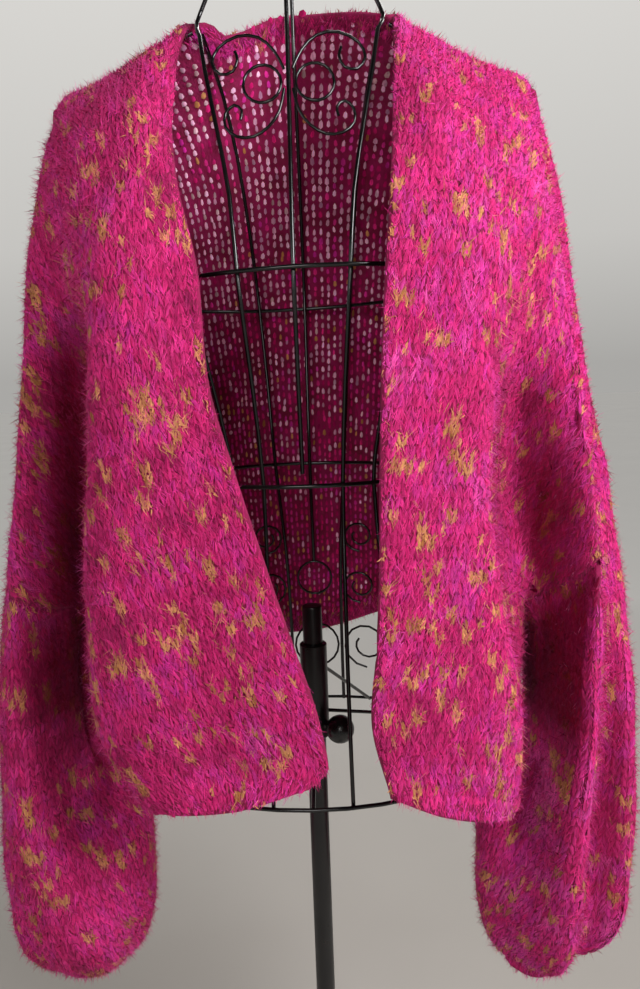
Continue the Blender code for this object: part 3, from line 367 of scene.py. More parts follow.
# Where stitches start beside a border, then how far from it they and the hairs have their full size, and the
# share of it that they start with
BORDER_FREE = 0.0008
BORDER_CALM = (0.0055, 0.45)

# The loops of the back's inner side, in metres and in parts of a stitch
BEAD_PITCH = 0.0061
BEAD_COURSE = 0.0070
BEAD_WIDE = 0.26
BEAD_RISE = 0.0018
BEAD_HALF = 0.38
BEAD_LEAN = 0.04
BEAD_WAVER = 0.12
BEAD_FREE = 0.006

# The pile and the longer strands, in metres and radians. A share of the hairs is raised. The second half of a
# longer strand bends at random, then falls towards the cloth and downwards.
INNER_PILE = 0.018
ROOT_RISE = 0.0005
LEG_LEAN = 0.36
DOWN_SHARE = 0.55
HAIRS_PER_AREA = 305000
HAIR_SPREAD = 0.24
HAIR_LIFT = (0.04, 0.30)
HAIR_RAISED = 0.25
RAISED_LIFT = (0.3, 1.1)
HAIR_LENGTH = (0.005, 0.012)
HAIR_WIDE = (0.00037, 0.00080)
HAIR_TWIST = 0.4
HAIR_WAVER = 0.12
STRAY_FACES = np.array([(0, 1, 3), (0, 3, 2), (2, 3, 4)])
STRAYS_PER_AREA = 240000
STRAY_SHARE = 0.20
STRAY_LIFT = (0.25, 1.0)
STRAY_SPREAD = 0.8
STRAY_LENGTH = (0.005, 0.011)
STRAY_WIDE = 0.00026
STRAY_BEND = 0.35
STRAY_FALL = (0.1, 0.2)
TUFT_LENGTH = (0.003, 0.006)
TUFT_WIDE = 0.0010
TUFT_LIFT = (0.1, 0.45)
TUFT_SPREAD = 0.45
TUFT_FALL = 0.8

# The yarn's fields of colour: seeds of the draws, how far runs, drift and clouds are blurred across and up
YARN_SEED = 100
DRAW_SEED = 31
RUN_BLUR = (3, 1)
DRIFT_BLUR = (40, 40)
CLOUD_BLUR = (6, 8)
# Screen colours of the yarn
YARN_TONES = ((140, 8, 74), (190, 18, 98), (208, 30, 110), (220, 46, 134), (200, 40, 148), (236, 88, 172))
RUN_SHARE = 0.45
DRIFT_SHARE = 0.25
LEG_DARK = 0.88
LEG_CALM = 0.45
FLECK_TONES = ((168, 106, 58), (216, 152, 98))
FLECK_SEEDS = 0.128
FLECK_CLOUD = (0.55, 0.9)
FLECK_LEG = 0.72
FLECK_SPREAD = ((0, 0.10), (1, 0.08))
# Painted shade in the folds: the openness at which it is full and at which it ends, and the share of red,
# green and blue that it takes away
FOLD_OPEN = (0.44, 0.92)
FOLD_SHADE_LOSS = (0.66, 0.92, 0.84)
MINGLED = 0.12
HAIR_SHADE = (0.88, 1.20)
# Painted sheen: a pale pink added to each hair at a random strength, for the haze of the fuzz
PAINTED_SHEEN_TONE = (255, 130, 195)
PAINTED_SHEEN_SHARE = 0.13
SHEEN_TONE = (255, 130, 190)
# Painted light on the back's inner side: how much lighter its loops are than the yarn outside, then pale dots
# where light would come through the loose knit: their tone, their brightness, the share of the yarn's colour
# left under them, how much the clouds add to their chance, their share at heights (more near the top), and
# the band beside the edge over which they fade in
INSIDE_PAINTED_LIGHT = 1.15
PAINTED_LIGHT_TONE = (255, 214, 240)
PAINTED_LIGHT_GLOW = (0.3, 1.0)
PAINTED_LIGHT_REST = 0.3
PAINTED_LIGHT_CLOUD = 0.5
PAINTED_LIGHT_SHARE = ((0.80, 0.06), (0.95, 0.16), (1.05, 0.34), (1.18, 0.60), (1.28, 0.78), (1.42, 0.86))
PAINTED_LIGHT_BAND = (0.010, 0.018)

# The materials: scales and detail of their noises, where the stops of their ramps are, and bumps in metres
COARSE_DETAIL = 3.0
FINE_DETAIL = 2.0
SHEEN_ROUGH = 0.45
GROUND_ROUGH = 0.95
GROUND_SHEEN = 0.1
GROUND_PATCH = 60.0
GROUND_STOPS = (0.35, 0.7)
FELT_SCALE = 420.0
FELT_UPRIGHT = 0.3
FELT_BUMP = 0.0012
YARN_BASE = (0.5, 0.05, 0.2)
YARN_ROUGH = 0.9
YARN_GLOSS = 0.15
FIBRE_UPRIGHT = 0.25
FIBRE_STOPS = ((0.3, 0.72), (0.7, 1.2))
PAINT_BASE = (14, 13, 14)
PAINT_STOPS = ((0.4, (9, 8, 9)), (0.75, (22, 20, 19)))
PAINT_WORN = ((0.3, 0.8), (0.8, 1.4))
PAINT_GRAIN = 900.0
PAINT_BUMP = 0.0001
PAINT_RELIEF = 0.6

# The camera: turned down, turned round and rolled, in degrees, then its place and lens
CAMERA_TURNS = (8.3, -1.4336, 2.0)
CAMERA_PLACE = (0.030, -0.75, 1.10)
CAMERA_LENS = 20.38
CAMERA_SENSOR = 24.0
CAMERA_NEAR = 0.01

# The studio: each light's place, size, power in watts and colour
LIGHTS_AIM = (0.0, 0.0, 1.15)
LIGHTS = {"right": ((1.2, -1.05, 1.92), (0.7, 0.7), 40.0, (0.98, 0.98, 1.0)),
          "left": ((-2.1, -0.9, 1.6), (1.2, 1.2), 10.0, (0.97, 0.98, 1.0)),
          "front": ((-0.2, -2.2, 1.7), (0.7, 0.7), 12.0, (1.0, 0.97, 0.95)),
          "behind": ((0.4, 1.9, 2.2), (1.2, 1.2), 20.0, (1.0, 0.98, 0.97))}
# The pale surroundings: their screen colour, their strength at sines of the height, and how much of it is
# left in the room before the cloth, where the direction's Y runs from the first to the second. The last are
# their strengths as the backdrop of the picture.
WORLD_TONE = (228, 226, 222)
WORLD_POWERS = ((0.0, 0.50), (0.10, 0.62), (0.38, 0.78), (0.62, 0.10))
WORLD_ROOM = (0.15, 0.55)
WORLD_ROOM_SHARE = 0.16
WORLD_SEEN = ((0.0, 0.51), (0.14, 0.72), (0.38, 0.88), (0.62, 0.80))
# The floor, and the distances, in metres, between which it fades into the surroundings
FLOOR_HALF = 30.0
FLOOR_BASE = (195, 190, 182)
FLOOR_STOPS = ((0.3, (192, 186, 178)), (0.7, (199, 193, 185)))
FLOOR_PATCH = 1.5
FLOOR_ROUGH = 0.8
FLOOR_FADE = (0.8, 3.4)
FLOOR_GLOW = 0.42


# Numbers and smooth curves


def unit(vectors):
    """The vectors along the last axis, made one long."""
    return vectors / np.linalg.norm(vectors, axis=-1, keepdims=True)


def square_to(vectors, axis):
    """The vectors without their part along the unit directions."""
    return vectors - axis * (vectors * axis).sum(-1)[..., None]


def blend(values, tri, share):
    """The values at the corners of triangles, mixed by shares."""
    picked = values[tri]
    return (picked * (share if picked.ndim == 2 else share[..., None])).sum(1)


def cubic(t, width, start, start_slope, end, end_slope):
    """A cubic between two values this width apart, with these slopes there."""
    return ((2 * t**3 - 3 * t**2 + 1) * start + (t**3 - 2 * t**2 + t) * width * start_slope
            + (3 * t**2 - 2 * t**3) * end + (t**3 - t**2) * width * end_slope)


def slopes_of(at, values):
    """Slopes for a cubic that never overshoots its rows."""
    steps = np.diff(at)
    rises = np.diff(values, axis=0) / steps[:, None]
    slopes = np.zeros_like(values)
    slopes[0], slopes[-1] = rises[0], rises[-1]
    for i in range(1, len(at) - 1):
        same = rises[i - 1] * rises[i] > 0
        a, b = 2 * steps[i] + steps[i - 1], steps[i] + 2 * steps[i - 1]
        with np.errstate(divide="ignore", invalid="ignore"):
            mean = (a + b) / (a / rises[i - 1] + b / rises[i])
        slopes[i] = np.where(same, mean, 0.0)
    return slopes


def read_table(at, values, where):
    """The rows (at, values) as a smooth curve, read at each of where."""
    at, values = np.asarray(at, float), np.asarray(values, float)
    order = np.argsort(at)
    at, values = at[order], values[order].reshape(len(at), -1)
    slopes = slopes_of(at, values)
    where = np.clip(np.atleast_1d(where), at[0], at[-1])
    k = np.clip(np.searchsorted(at, where, side="right") - 1, 0, len(at) - 2)
    width = (at[k + 1] - at[k])[:, None]
    t = (where - at[k])[:, None] / width
    return cubic(t, width, values[k], slopes[k], values[k + 1], slopes[k + 1])


def through(points, steps, closed=False):
    """A round curve through the points, with steps[i] stretches between points i and i + 1."""
    points = np.asarray(points, float)
    count = len(points)
    if closed:
        points = np.concatenate([points[-1:], points, points[:2]])
    else:
        points = np.concatenate([2 * points[:1] - points[1:2], points, 2 * points[-1:] - points[-2:-1]])
    made = []
    for i in range(count if closed else count - 1):
        a, b, c, d = points[i : i + 4]
        chords = [max(math.sqrt(np.linalg.norm(q - p)), 1e-6) for p, q in ((a, b), (b, c), (c, d))]
        before, here, after = chords
        start = (b - a) / before - (c - a) / (before + here) + (c - b) / here
        end = (c - b) / here - (d - b) / (here + after) + (d - c) / after
        made += [cubic(t, here, b, start, c, end) for t in np.arange(steps[i]) / steps[i]]
    if not closed:
        made.append(points[-2])
    return np.array(made)


# The cloth as a surface. Each fold runs down from the shoulder line, and rows cross the folds.


def shoulder_height(out):
    return float(np.interp(out, *zip(*SHOULDER_LINE)))


def crest(drop):
    """How much of its depth the cloth has reached at this drop below the shoulder line."""
    t = np.clip(np.asarray(drop, float) / CREST_DROP, 0.0, 1.0)
    return np.sin(t * math.pi / 2) ** CREST_POWER


def by_name(rows, folds):
    """A table's rows by height, with each fold's place by its name."""
    return {height: dict(zip(folds, places)) for height, places in rows.items()}


def known_between(rows, name, top, end, clear):
    """The heights and places that a table gives for a fold, clear of its top and its end."""
    return [(h, row[name]) for h, row in rows.items() if name in row and top - clear[0] > h > end + clear[1]]


def column(rows, name, top_out, end, share, top_depth=0.0, top=None):
    """Points (out, depth, height) down one fold from the shoulder line to its end."""
    top = shoulder_height(top_out) if top is None else top
    end_height, end_out, end_depth = end
    known = known_between(rows, name, top, end_height, UPPER_CLEAR)
    heights = [end_height] + [h for h, _ in known]
    depths = [end_depth] + [place[1] for _, place in known]
    outs = [end_out] + [place[0] for _, place in known]
    at = top + (end_height - top) * share
    out = read_table(heights + [top], outs + [top_out], at)[:, 0]
    deepest = read_table(heights, depths, at)[:, 0]
    depth = top_depth + (deepest - top_depth) * crest(top - at)
    return np.stack([out, depth, at], axis=1)


def level_end(rows, name, height):
    """(height, out, depth) of a fold at one height."""
    known = [h for h in rows if name in rows[h]]
    return (height, *read_table(known, [rows[h][name] for h in known], height)[0])


def straight_column(rows, name, start, end, share):
    """Points (out, depth, height) down one fold of the lower body, from start to end."""
    known = known_between(rows, name, start[2], end[0], LOWER_CLEAR)
    heights = [end[0]] + [h for h, _ in known] + [start[2]]
    places = [end[1:]] + [place for _, place in known] + [tuple(start[:2])]
    at = start[2] + (end[0] - start[2]) * share
    return np.concatenate([read_table(heights, places, at), at[:, None]], axis=1)


def front_rows(side):
    """The front's rows with the middle of the panel, which bulges a little, added."""
    rows = by_name(FRONTS[side], FRONT_FOLDS)
    for row in rows.values():
        if "ridge" in row:
            row["face"] = tuple((np.array(row["edge"]) + np.array(row["ridge"])) / 2 + (0.0, FACE_BULGE))
    return rows


def rows_down(rows, ease):
    """Row places from 0 at the top to 1 at the bottom, closer together near the top."""
    return (np.arange(rows + 1) / rows) ** ease


def grid(columns, steps):
    """Rows of points across the columns."""
    return np.array([through(across, steps) for across in np.stack(columns, axis=1)])


def to_world(points, sign, forward):
    """(out, depth, height) in centimetres to metres, on one side."""
    facing = -1.0 if forward else 1.0
    return np.stack([points[..., 0] * sign, points[..., 1] * facing, points[..., 2]], axis=-1) * CM


def front_grids(side):
    """The upper grid of a front, from its edge to the overarm seam, and the lower one below the underarm."""
    rows = front_rows(side)
    share = rows_down(UPPER_ROWS, UPPER_EASE)
    ends = {name: level_end(rows, name, UNDERARM) for name in BODY_FOLDS[:-1]}
    ends.update(SEAM_ENDS[side])
    columns = {name: column(rows, name, out, ends[name], share) for name, out in FOLD_TOPS.items()}
    upper = grid(list(columns.values()), BODY_STEPS + WING_STEPS)
    share = rows_down(LOWER_ROWS, 1.0)
    lower = grid([straight_column(rows, name, columns[name][-1], HEM_ENDS[side][name], share)
                  for name in BODY_FOLDS], BODY_STEPS)
    lower[0] = upper[-1, : lower.shape[1]]
    return to_world(upper, SIDES[side], True), to_world(lower, SIDES[side], True)


def back_columns(side):
    """The folds of one half of the back above the underarm, then those below it."""
    rows = by_name(BACK, BACK_FOLDS)
    share = rows_down(UPPER_ROWS, UPPER_EASE)
    under = SEAM_ENDS[side]["web"]
    ends = {name: level_end(rows, name, UNDERARM) for name in BACK_BODY_FOLDS}
    ends.update(bweb=(under[0], under[1], -under[2]), bwing=BACK_WING_END[side])
    upper = {name: column(rows, name, out, ends[name], share) for name, out in BACK_TOPS.items()}
    upper["centre"] = column(rows, "centre", 0.0, ends["centre"], share, NECK_BACK[1], NECK_BACK[0])
    hems = dict(BACK_HEMS[side], centre=CENTRE_HEM)
    share = rows_down(LOWER_ROWS, 1.0)
    lower = [straight_column(rows, name, upper[name][-1], hems[name], share) for name in BACK_BODY_FOLDS]
    return [[to_world(points, SIDES[side], False) for points in columns]
            for columns in (upper.values(), lower)]


def back_grids(fronts):
    """The upper grid of the back, from one overarm seam to the other, and the lower one."""
    halves = {side: [[front[:, -1]] + columns for front, columns in zip(fronts[side], back_columns(side))]
              for side in SIDES}
    body, wing = BACK_BODY_STEPS, sum(BACK_WING_STEPS)
    steps = BACK_WING_STEPS + body
    upper, lower = (grid(halves["left"][k] + halves["right"][k][-2::-1], run + run[::-1])
                    for k, run in enumerate((steps, body)))
    lower[0] = upper[-1, wing:-wing]
    shoulder = sum(BODY_STEPS + WING_STEPS) + 1
    upper[0, :shoulder] = fronts["left"][0][0, ::-1]
    upper[0, -shoulder:] = fronts["right"][0][0]
    for side, index, seam in (("left", 0, wing), ("right", -1, -wing - 1)):
        upper[:, index] = fronts[side][0][:, -1]
        lower[:, index] = fronts[side][1][:, -1]
        lower[0, index] = upper[-1, seam] = fronts[side][1][0, -1]
    return upper, lower


def sleeve_rim(side, front_upper, back_upper):
    """The armhole, from the underarm by the front to the overarm seam and by the back to the underarm."""
    last = back_upper[-1] if side == "left" else back_upper[-1, ::-1]
    return np.concatenate([front_upper[-1, sum(BODY_STEPS) :], last[1 : sum(BACK_WING_STEPS)]])


def sleeve_grid(side, rim):
    """Rings of the sleeve from the armhole to the cuff's end."""
    keys = [FINE * k for k in SLEEVE_KEYS]
    steps = list(np.diff(keys + [len(rim)]))
    rows = SLEEVES[side]
    table = {h: np.array(places) * (SIDES[side], -1.0) * CM for h, places in rows.items()}
    share = rows_down(SLEEVE_ROWS, SLEEVE_EASE)
    columns = []
    for k, index in enumerate(keys):
        start = rim[index]
        heights = [h for h in rows if h * CM < start[2] - SLEEVE_CLEAR]
        at = start[2] + (SLEEVE_LAST * CM - start[2]) * share
        places = [table[h][k] for h in heights] + [start[:2]]
        read = read_table([h * CM for h in heights] + [start[2]], places, at)
        columns.append(np.concatenate([read, at[:, None]], axis=1))
    rings = [through(across, steps, closed=True) for across in np.stack(columns, axis=1)]
    rings[0] = rim
    rings += balloon_rings(side, rings[-1])
    return gathered(np.array(rings), CUFFS[side])


def balloon_rings(side, last):
    """Rings that round the sleeve's end inwards to the cuff, then the cuff itself."""
    cuff = CUFFS[side]
    middle = np.array([cuff["out"] * SIDES[side], cuff["back"]]) * CM
    ring = middle + unit(last[:, :2] - middle) * cuff["radius"] * CM
    levels = []
    for i in range(1, BALLOON_ROWS + 1):
        turn = i / BALLOON_ROWS * math.pi / 2
        places = ring + (last[:, :2] - ring) * math.cos(turn) ** BALLOON_POWER
        levels.append((places, last[0, 2] + (cuff["top"] * CM - last[0, 2]) * math.sin(turn)))
    for i in range(1, CUFF_ROWS + 1):
        levels.append((ring, (cuff["top"] + (cuff["end"] - cuff["top"]) * i / CUFF_ROWS) * CM))
    return [np.concatenate([places, np.full((len(ring), 1), height)], axis=1) for places, height in levels]


def gathered(rings, cuff):
    """The rings with soft gathers that deepen towards the cuff."""
    around = np.arange(rings.shape[1]) / rings.shape[1] * 2 * math.pi * GATHERS
    above, least = GATHER_FADE
    for ring in rings[1:]:
        height = ring[:, 2].mean() / CM
        grown = np.clip((GATHER_TOP - height) / (GATHER_TOP - cuff["top"]), 0.0, 1.0)
        fading = np.clip((height - cuff["end"]) / (cuff["top"] + above - cuff["end"]), least, 1.0)
        away = unit(ring[:, :2] - ring[:, :2].mean(axis=0))
        ring[:, :2] += away * (np.cos(around) * GATHER_DEPTH * CM * grown * fading)[:, None]
    return rings


# The cloth as joined points, and the lattice of its stitches


def spots(points):
    """A whole-number name for each place, to the micrometre."""
    return np.round(np.asarray(points) * 1e6).astype(np.int64)


def same_spots(points):
    """A number for each point, the same for points that coincide."""
    return np.unique(spots(points), axis=0, return_inverse=True)[1].reshape(-1)


class Cloth:
    """One piece of cloth: points, quads with their outer side out, and how its wales run."""

    def __init__(self, name, grids, turns, flip, tube=False):
        self.name = name
        points, quads, down, known = [], [], [], {}
        for rows, turn in zip(grids, turns):
            if tube:
                rows = np.concatenate([rows, rows[:, :1]], axis=1)
            falls = unit(np.gradient(rows, axis=0))
            across = unit(square_to(np.gradient(rows, axis=1), falls))
            wales = falls * np.cos(turn)[..., None] + across * np.sin(turn)[..., None]
            index = np.arange(rows.shape[0] * rows.shape[1]).reshape(rows.shape[:2]) + len(points)
            if known:
                index[0] = [known[tuple(spot)] for spot in spots(rows[0])]
                index[1:] -= rows.shape[1]
                rows, wales = rows[1:], wales[1:]
            points += list(rows.reshape(-1, 3))
            down += list(wales.reshape(-1, 3))
            known = {tuple(spot): i for i, spot in enumerate(spots(points))}
            corners = (index[:-1, :-1], index[1:, :-1], index[1:, 1:], index[:-1, 1:])
            quads.append(np.stack(corners[::-1] if flip else corners, axis=-1).reshape(-1, 4))
        self.points, self.down = np.array(points), np.array(down)
        self.quads = np.concatenate(quads)
        self.triangles = np.concatenate([self.quads[:, [0, 1, 2]], self.quads[:, [0, 2, 3]]])
        self.weld = same_spots(self.points)


def shared_normals(cloths):
    """Gives every piece its normals, shared by the pieces that meet at a seam, and marks the seam points."""
    owner = np.concatenate([np.full(len(cloth.points), i) for i, cloth in enumerate(cloths)])
    ids = same_spots(np.concatenate([cloth.points for cloth in cloths]))
    total = np.zeros((ids.max() + 1, 3))
    start = 0
    for cloth in cloths:
        p = cloth.points[cloth.quads]
        face = np.cross(p[:, 2] - p[:, 0], p[:, 3] - p[:, 1])
        for corner in range(4):
            np.add.at(total, ids[start + cloth.quads[:, corner]], face)
        start += len(cloth.points)
    total /= np.maximum(np.linalg.norm(total, axis=1), TINY)[:, None]
    low, high = np.full(len(total), len(cloths)), np.full(len(total), -1)
    np.minimum.at(low, ids, owner)
    np.maximum.at(high, ids, owner)
    for i, cloth in enumerate(cloths):
        mine = ids[owner == i]
        cloth.normals, cloth.on_seam = total[mine], low[mine] != high[mine]


def sides_of(quads):
    return np.concatenate([quads[:, [k, (k + 1) % 4]] for k in range(4)])


def rim_of(cloth):
    """The rim's edges, in the outer skin's order, between points joined where they coincide."""
    count, ends = cloth.weld.max() + 1, sides_of(cloth.weld[cloth.quads])
    return ends[~np.isin(ends[:, 0] * count + ends[:, 1], ends[:, 1] * count + ends[:, 0])]


def nearest(points, places):
    """Each point's distance from the nearest of the places."""
    return np.array([np.linalg.norm(places - point, axis=1).min() for point in points])


def edges_of(cloth):
    return np.unique(np.sort(sides_of(cloth.quads), axis=1), axis=0)


def closest_field(count, a, b, steps, weight):
    """The value at each point whose steps along the edges from a to b come closest to the wanted steps."""
    def spread(flow):
        return np.bincount(b, flow, count) - np.bincount(a, flow, count)
    value = np.zeros(count)
    left = spread(weight * steps)
    search, size = left.copy(), left @ left
    for _ in range(FIELD_ROUNDS):
        step = spread(weight * (search[b] - search[a]))
        reach = size / (search @ step)
        value += reach * search
        left -= reach * step
        grown = left @ left
        search = left + grown / size * search
        size = grown
    return value


def chart(cloth):
    """Pattern coordinates in metres, across the wales and up them, each as near its true pitch as can be."""
    a, b = edges_of(cloth).T
    along = cloth.points[b] - cloth.points[a]
    up = -(cloth.down[a] + cloth.down[b])
    normal = cloth.normals[a] + cloth.normals[b]
    up -= normal * ((up * normal).sum(1) / (normal * normal).sum(1))[:, None]
    up = unit(up)
    over = unit(np.cross(up, normal))
    weight = 1 / np.maximum(np.linalg.norm(along, axis=1), SHORTEST_EDGE)
    cloth.over, cloth.up = (closest_field(len(cloth.points), a, b, (along * way).sum(1), weight)
                            for way in (over, up))


def spans(u, v):
    """How far two coordinates run along two sides of each triangle, and the determinant of the four."""
    u1, u2, v1, v2 = u[:, 1] - u[:, 0], u[:, 2] - u[:, 0], v[:, 1] - v[:, 0], v[:, 2] - v[:, 0]
    det = u1 * v2 - u2 * v1
    return u1, u2, v1, v2, np.where(np.abs(det) < TINY, TINY, det)


def frames(cloth, tri, share):
    """Place, normal and the pattern's two directions, each as long as one metre of pattern, on triangles."""
    p = cloth.points[tri]
    u1, u2, v1, v2, det = spans(cloth.over[tri], cloth.up[tri])
    e1, e2 = p[:, 1] - p[:, 0], p[:, 2] - p[:, 0]
    over = (e1 * v2[:, None] - e2 * v1[:, None]) / det[:, None]
    up = (e2 * u1[:, None] - e1 * u2[:, None]) / det[:, None]
    normal = unit(blend(cloth.normals, tri, share))
    return blend(cloth.points, tri, share), normal, tamed(over), tamed(up)


def tamed(direction):
    """The direction with its length held between the limits of the knit's stretch."""
    size = np.linalg.norm(direction, axis=1)[:, None]
    return direction / size * np.clip(size, *STRETCH)


def lattice(cloth, wale_pitch=WALE_PITCH, course_pitch=COURSE_PITCH):
    """Every stitch of the piece: the triangle it is on, its shares there, and its wale and course numbers."""
    tri = cloth.triangles
    u, v = cloth.over[tri] / wale_pitch, cloth.up[tri] / course_pitch
    low_u, low_v = np.ceil(u.min(1)), np.ceil(v.min(1))
    span_u, span_v = np.floor(u.max(1)) - low_u, np.floor(v.max(1)) - low_v
    u1, u2, v1, v2, det = spans(u, v)
    found = []
    for i in range(int(min(span_u.max(), SEARCHED)) + 1):
        for j in range(int(min(span_v.max(), SEARCHED)) + 1):
            at = np.flatnonzero((i <= span_u) & (j <= span_v))
            du, dv = low_u[at] + i - u[at, 0], low_v[at] + j - v[at, 0]
            s = (du * v2[at] - dv * u2[at]) / det[at]
            t = (dv * u1[at] - du * v1[at]) / det[at]
            inside = (s >= 0) & (t >= 0) & (s + t <= 1)
            at, s, t = at[inside], s[inside], t[inside]
            found.append(np.column_stack([at, 1 - s - t, s, t, low_u[at] + i, low_v[at] + j]))
    found = np.concatenate(found)
    found = found[np.unique(found[:, 4:], axis=0, return_index=True)[1]]
    return tri[found[:, 0].astype(int)], found[:, 1:4], found[:, 4].astype(int), found[:, 5].astype(int)


# Colours of the yarn, by wale and course


def linear(red, green, blue):
    """A screen colour, 0 to 255, as the light that it stands for."""
    value = np.array([red, green, blue]) / 255
    return np.where(value <= 0.04045, value / 12.92, ((value + 0.055) / 1.055) ** 2.4)


def evened(values):
    """The values replaced by their places in order, from 0 to 1."""
    order = values.ravel().argsort().argsort()
    return (order / (order.size - 1)).reshape(values.shape)


def blurred(values, across, up):
    for axis, count in ((1, across), (0, up)):
        for _ in range(count):
            values = 0.5 * values + 0.25 * (np.roll(values, 1, axis) + np.roll(values, -1, axis))
    return values


class Yarn:
    """A field of yarn colours that repeats only past the size of the garment."""

    def __init__(self, seed):
        rng = np.random.default_rng(seed)
        size = (YARN_FIELD, YARN_FIELD)
        runs = evened(blurred(rng.random(size), *RUN_BLUR))[..., None]
        self.tone = evened(RUN_SHARE * runs + (1 - RUN_SHARE) * rng.random((*size, 2)))
        self.drift = evened(blurred(rng.random(size), *DRIFT_BLUR))
        self.light = rng.random((*size, 2))
        self.pale = rng.random(size)
        self.cloud = evened(blurred(rng.random(size), *CLOUD_BLUR))
        seeds = rng.random(size) < FLECK_SEEDS * (FLECK_CLOUD[0] + FLECK_CLOUD[1] * self.cloud)
        fleck = seeds.copy()
        for axis, chance in FLECK_SPREAD:
            fleck |= np.roll(seeds & (rng.random(size) < chance), 1, axis)
        self.fleck = fleck[..., None] & (rng.random((*size, 2)) < FLECK_LEG)

    def at(self, field, wale, course, *leg):
        return field[(course % YARN_FIELD, wale % YARN_FIELD, *leg)]

    def colours(self, wale, course, leg):
        """The colour of each stitch's leg, 0 or 1, as light."""
        drift = self.at(self.drift, wale, course)
        tone = (1 - DRIFT_SHARE) * self.at(self.tone, wale, course, leg) + DRIFT_SHARE * drift
        stops = np.array([linear(*c) for c in YARN_TONES])
        place = tone * (len(stops) - 1)
        k = np.clip(place.astype(int), 0, len(stops) - 2)
        colour = stops[k] + (stops[k + 1] - stops[k]) * (place - k)[:, None]
        light = self.at(self.light, wale, course, leg)[:, None]
        colour = colour * (LEG_DARK + (1 / LEG_DARK - LEG_DARK) * light)
        dark, pale = (linear(*c) for c in FLECK_TONES)
        fleck = self.at(self.fleck, wale, course, leg)
        colour[fleck] = (dark + (pale - dark) * light)[fleck]
        return colour


def openness(cloths):
    """How open each place of the outer side is, from 0 to 1, felt with rays around it; it sets the painted
    shade in folds.
    """
    starts = np.cumsum([0] + [len(cloth.points) for cloth in cloths])
    quads = np.concatenate([cloth.quads + start for cloth, start in zip(cloths, starts)])
    tree = BVHTree.FromPolygons(np.concatenate([cloth.points for cloth in cloths]).tolist(), quads.tolist())
    ways = unit(np.random.default_rng(RAY_SEED).normal(size=(RAYS, 3)))
    for cloth in cloths:
        faced = cloth.normals @ ways.T
        cloth.open = np.ones(len(cloth.points))
        for k, (point, normal) in enumerate(zip(cloth.points, cloth.normals)):
            start = Vector(point + normal * RAY_START)
            seen = np.flatnonzero(faced[k] > RAY_FLATTEST)
            free = [tree.ray_cast(start, Vector(ways[i]), RAY_REACH)[0] is None for i in seen]
            cloth.open[k] = (faced[k, seen] * free).sum() / faced[k, seen].sum()


def painted_fold_shade(colour, open_share):
    """Yarn colours with painted shade: darker where the cloth lies hidden in a fold."""
    hidden = 1 - np.clip((open_share - FOLD_OPEN[0]) / (FOLD_OPEN[1] - FOLD_OPEN[0]), 0, 1)
    return colour * (1 - hidden[:, None] * FOLD_SHADE_LOSS)


# Meshes


def add_object(name, data):
    made = bpy.data.objects.new(name, data)
    bpy.context.scene.collection.objects.link(made)
    return made


def mesh_piece(name, points, faces, materials, colours=None, normals=None):
    """A mesh piece from arrays. Its faces all have as many corners as each other."""
    mesh = bpy.data.meshes.new(name)
    faces = np.asarray(faces, np.int32)
    mesh.vertices.add(len(points))
    mesh.vertices.foreach_set("co", np.asarray(points, np.float32).ravel())
    mesh.loops.add(faces.size)
    mesh.loops.foreach_set("vertex_index", faces.ravel())
    mesh.polygons.add(len(faces))
    mesh.polygons.foreach_set("loop_start", np.arange(0, faces.size, faces.shape[1], dtype=np.int32))
    mesh.update(calc_edges=True)
    mesh.shade_smooth()
    if colours is not None:
        layer = mesh.color_attributes.new("yarn", "FLOAT_COLOR", "POINT")
        rgba = np.concatenate([colours, np.ones((len(colours), 1))], axis=1)
        layer.data.foreach_set("color", rgba.astype(np.float32).ravel())
    if normals is not None:
        mesh.normals_split_custom_set_from_vertices(normals.astype(np.float32))
    for material in materials:
        mesh.materials.append(material)
    return add_object(name, mesh)


def cell_map(mesh, cell, spot):
    """A map for baking with a cell for each strand. spot is each corner's place in its cell."""
    side = int(math.ceil(math.sqrt(cell.max() + 1)))
    corner = np.stack([cell % side, cell // side], axis=1)
    places = (corner + CELL_START + CELL_SPAN * spot) / side
    mesh.uv_layers.new(name="OFBake").uv.foreach_set("vector", places.astype(np.float32).ravel())


def strands(name, points, faces, material, colours, normals):
    """Many strands alike as one piece. points is strands by points by 3, and faces are one strand's."""
    count, each = points.shape[:2]
    every = (faces[None] + np.arange(count)[:, None, None] * each).reshape(-1, faces.shape[1])
    shades = np.repeat(colours, each, axis=0)
    made = mesh_piece(name, points.reshape(-1, 3), every, [material], shades, normals.reshape(-1, 3))
    local = np.stack([np.linspace(0, 1, each), np.arange(each) % 2], axis=1)
    corners = np.tile(local[faces.ravel()], (count, 1))
    cell_map(made.data, np.repeat(np.arange(count), faces.size), corners)
    return ride_on_form(made)


def ride_on_form(piece):
    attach(piece, "form")
    return piece


# Shells, stitches and pile


def waves(points):
    """A slow unevenness of the hanging cloth, in metres, the same at a place on every piece."""
    rng = np.random.default_rng(WAVE_SEED)
    lift = np.zeros(len(points))
    for _ in range(WAVE_COUNT):
        way = rng.normal(size=3) * (1.0, 1.0, WAVE_UPRIGHT)
        length = rng.uniform(*WAVE_LENGTHS)
        phase = points @ (way / np.linalg.norm(way)) * 2 * math.pi / length
        lift += np.sin(phase + rng.uniform(*WAVE_STARTS))
    return lift * WAVE_HEIGHT / math.sqrt(WAVE_COUNT)


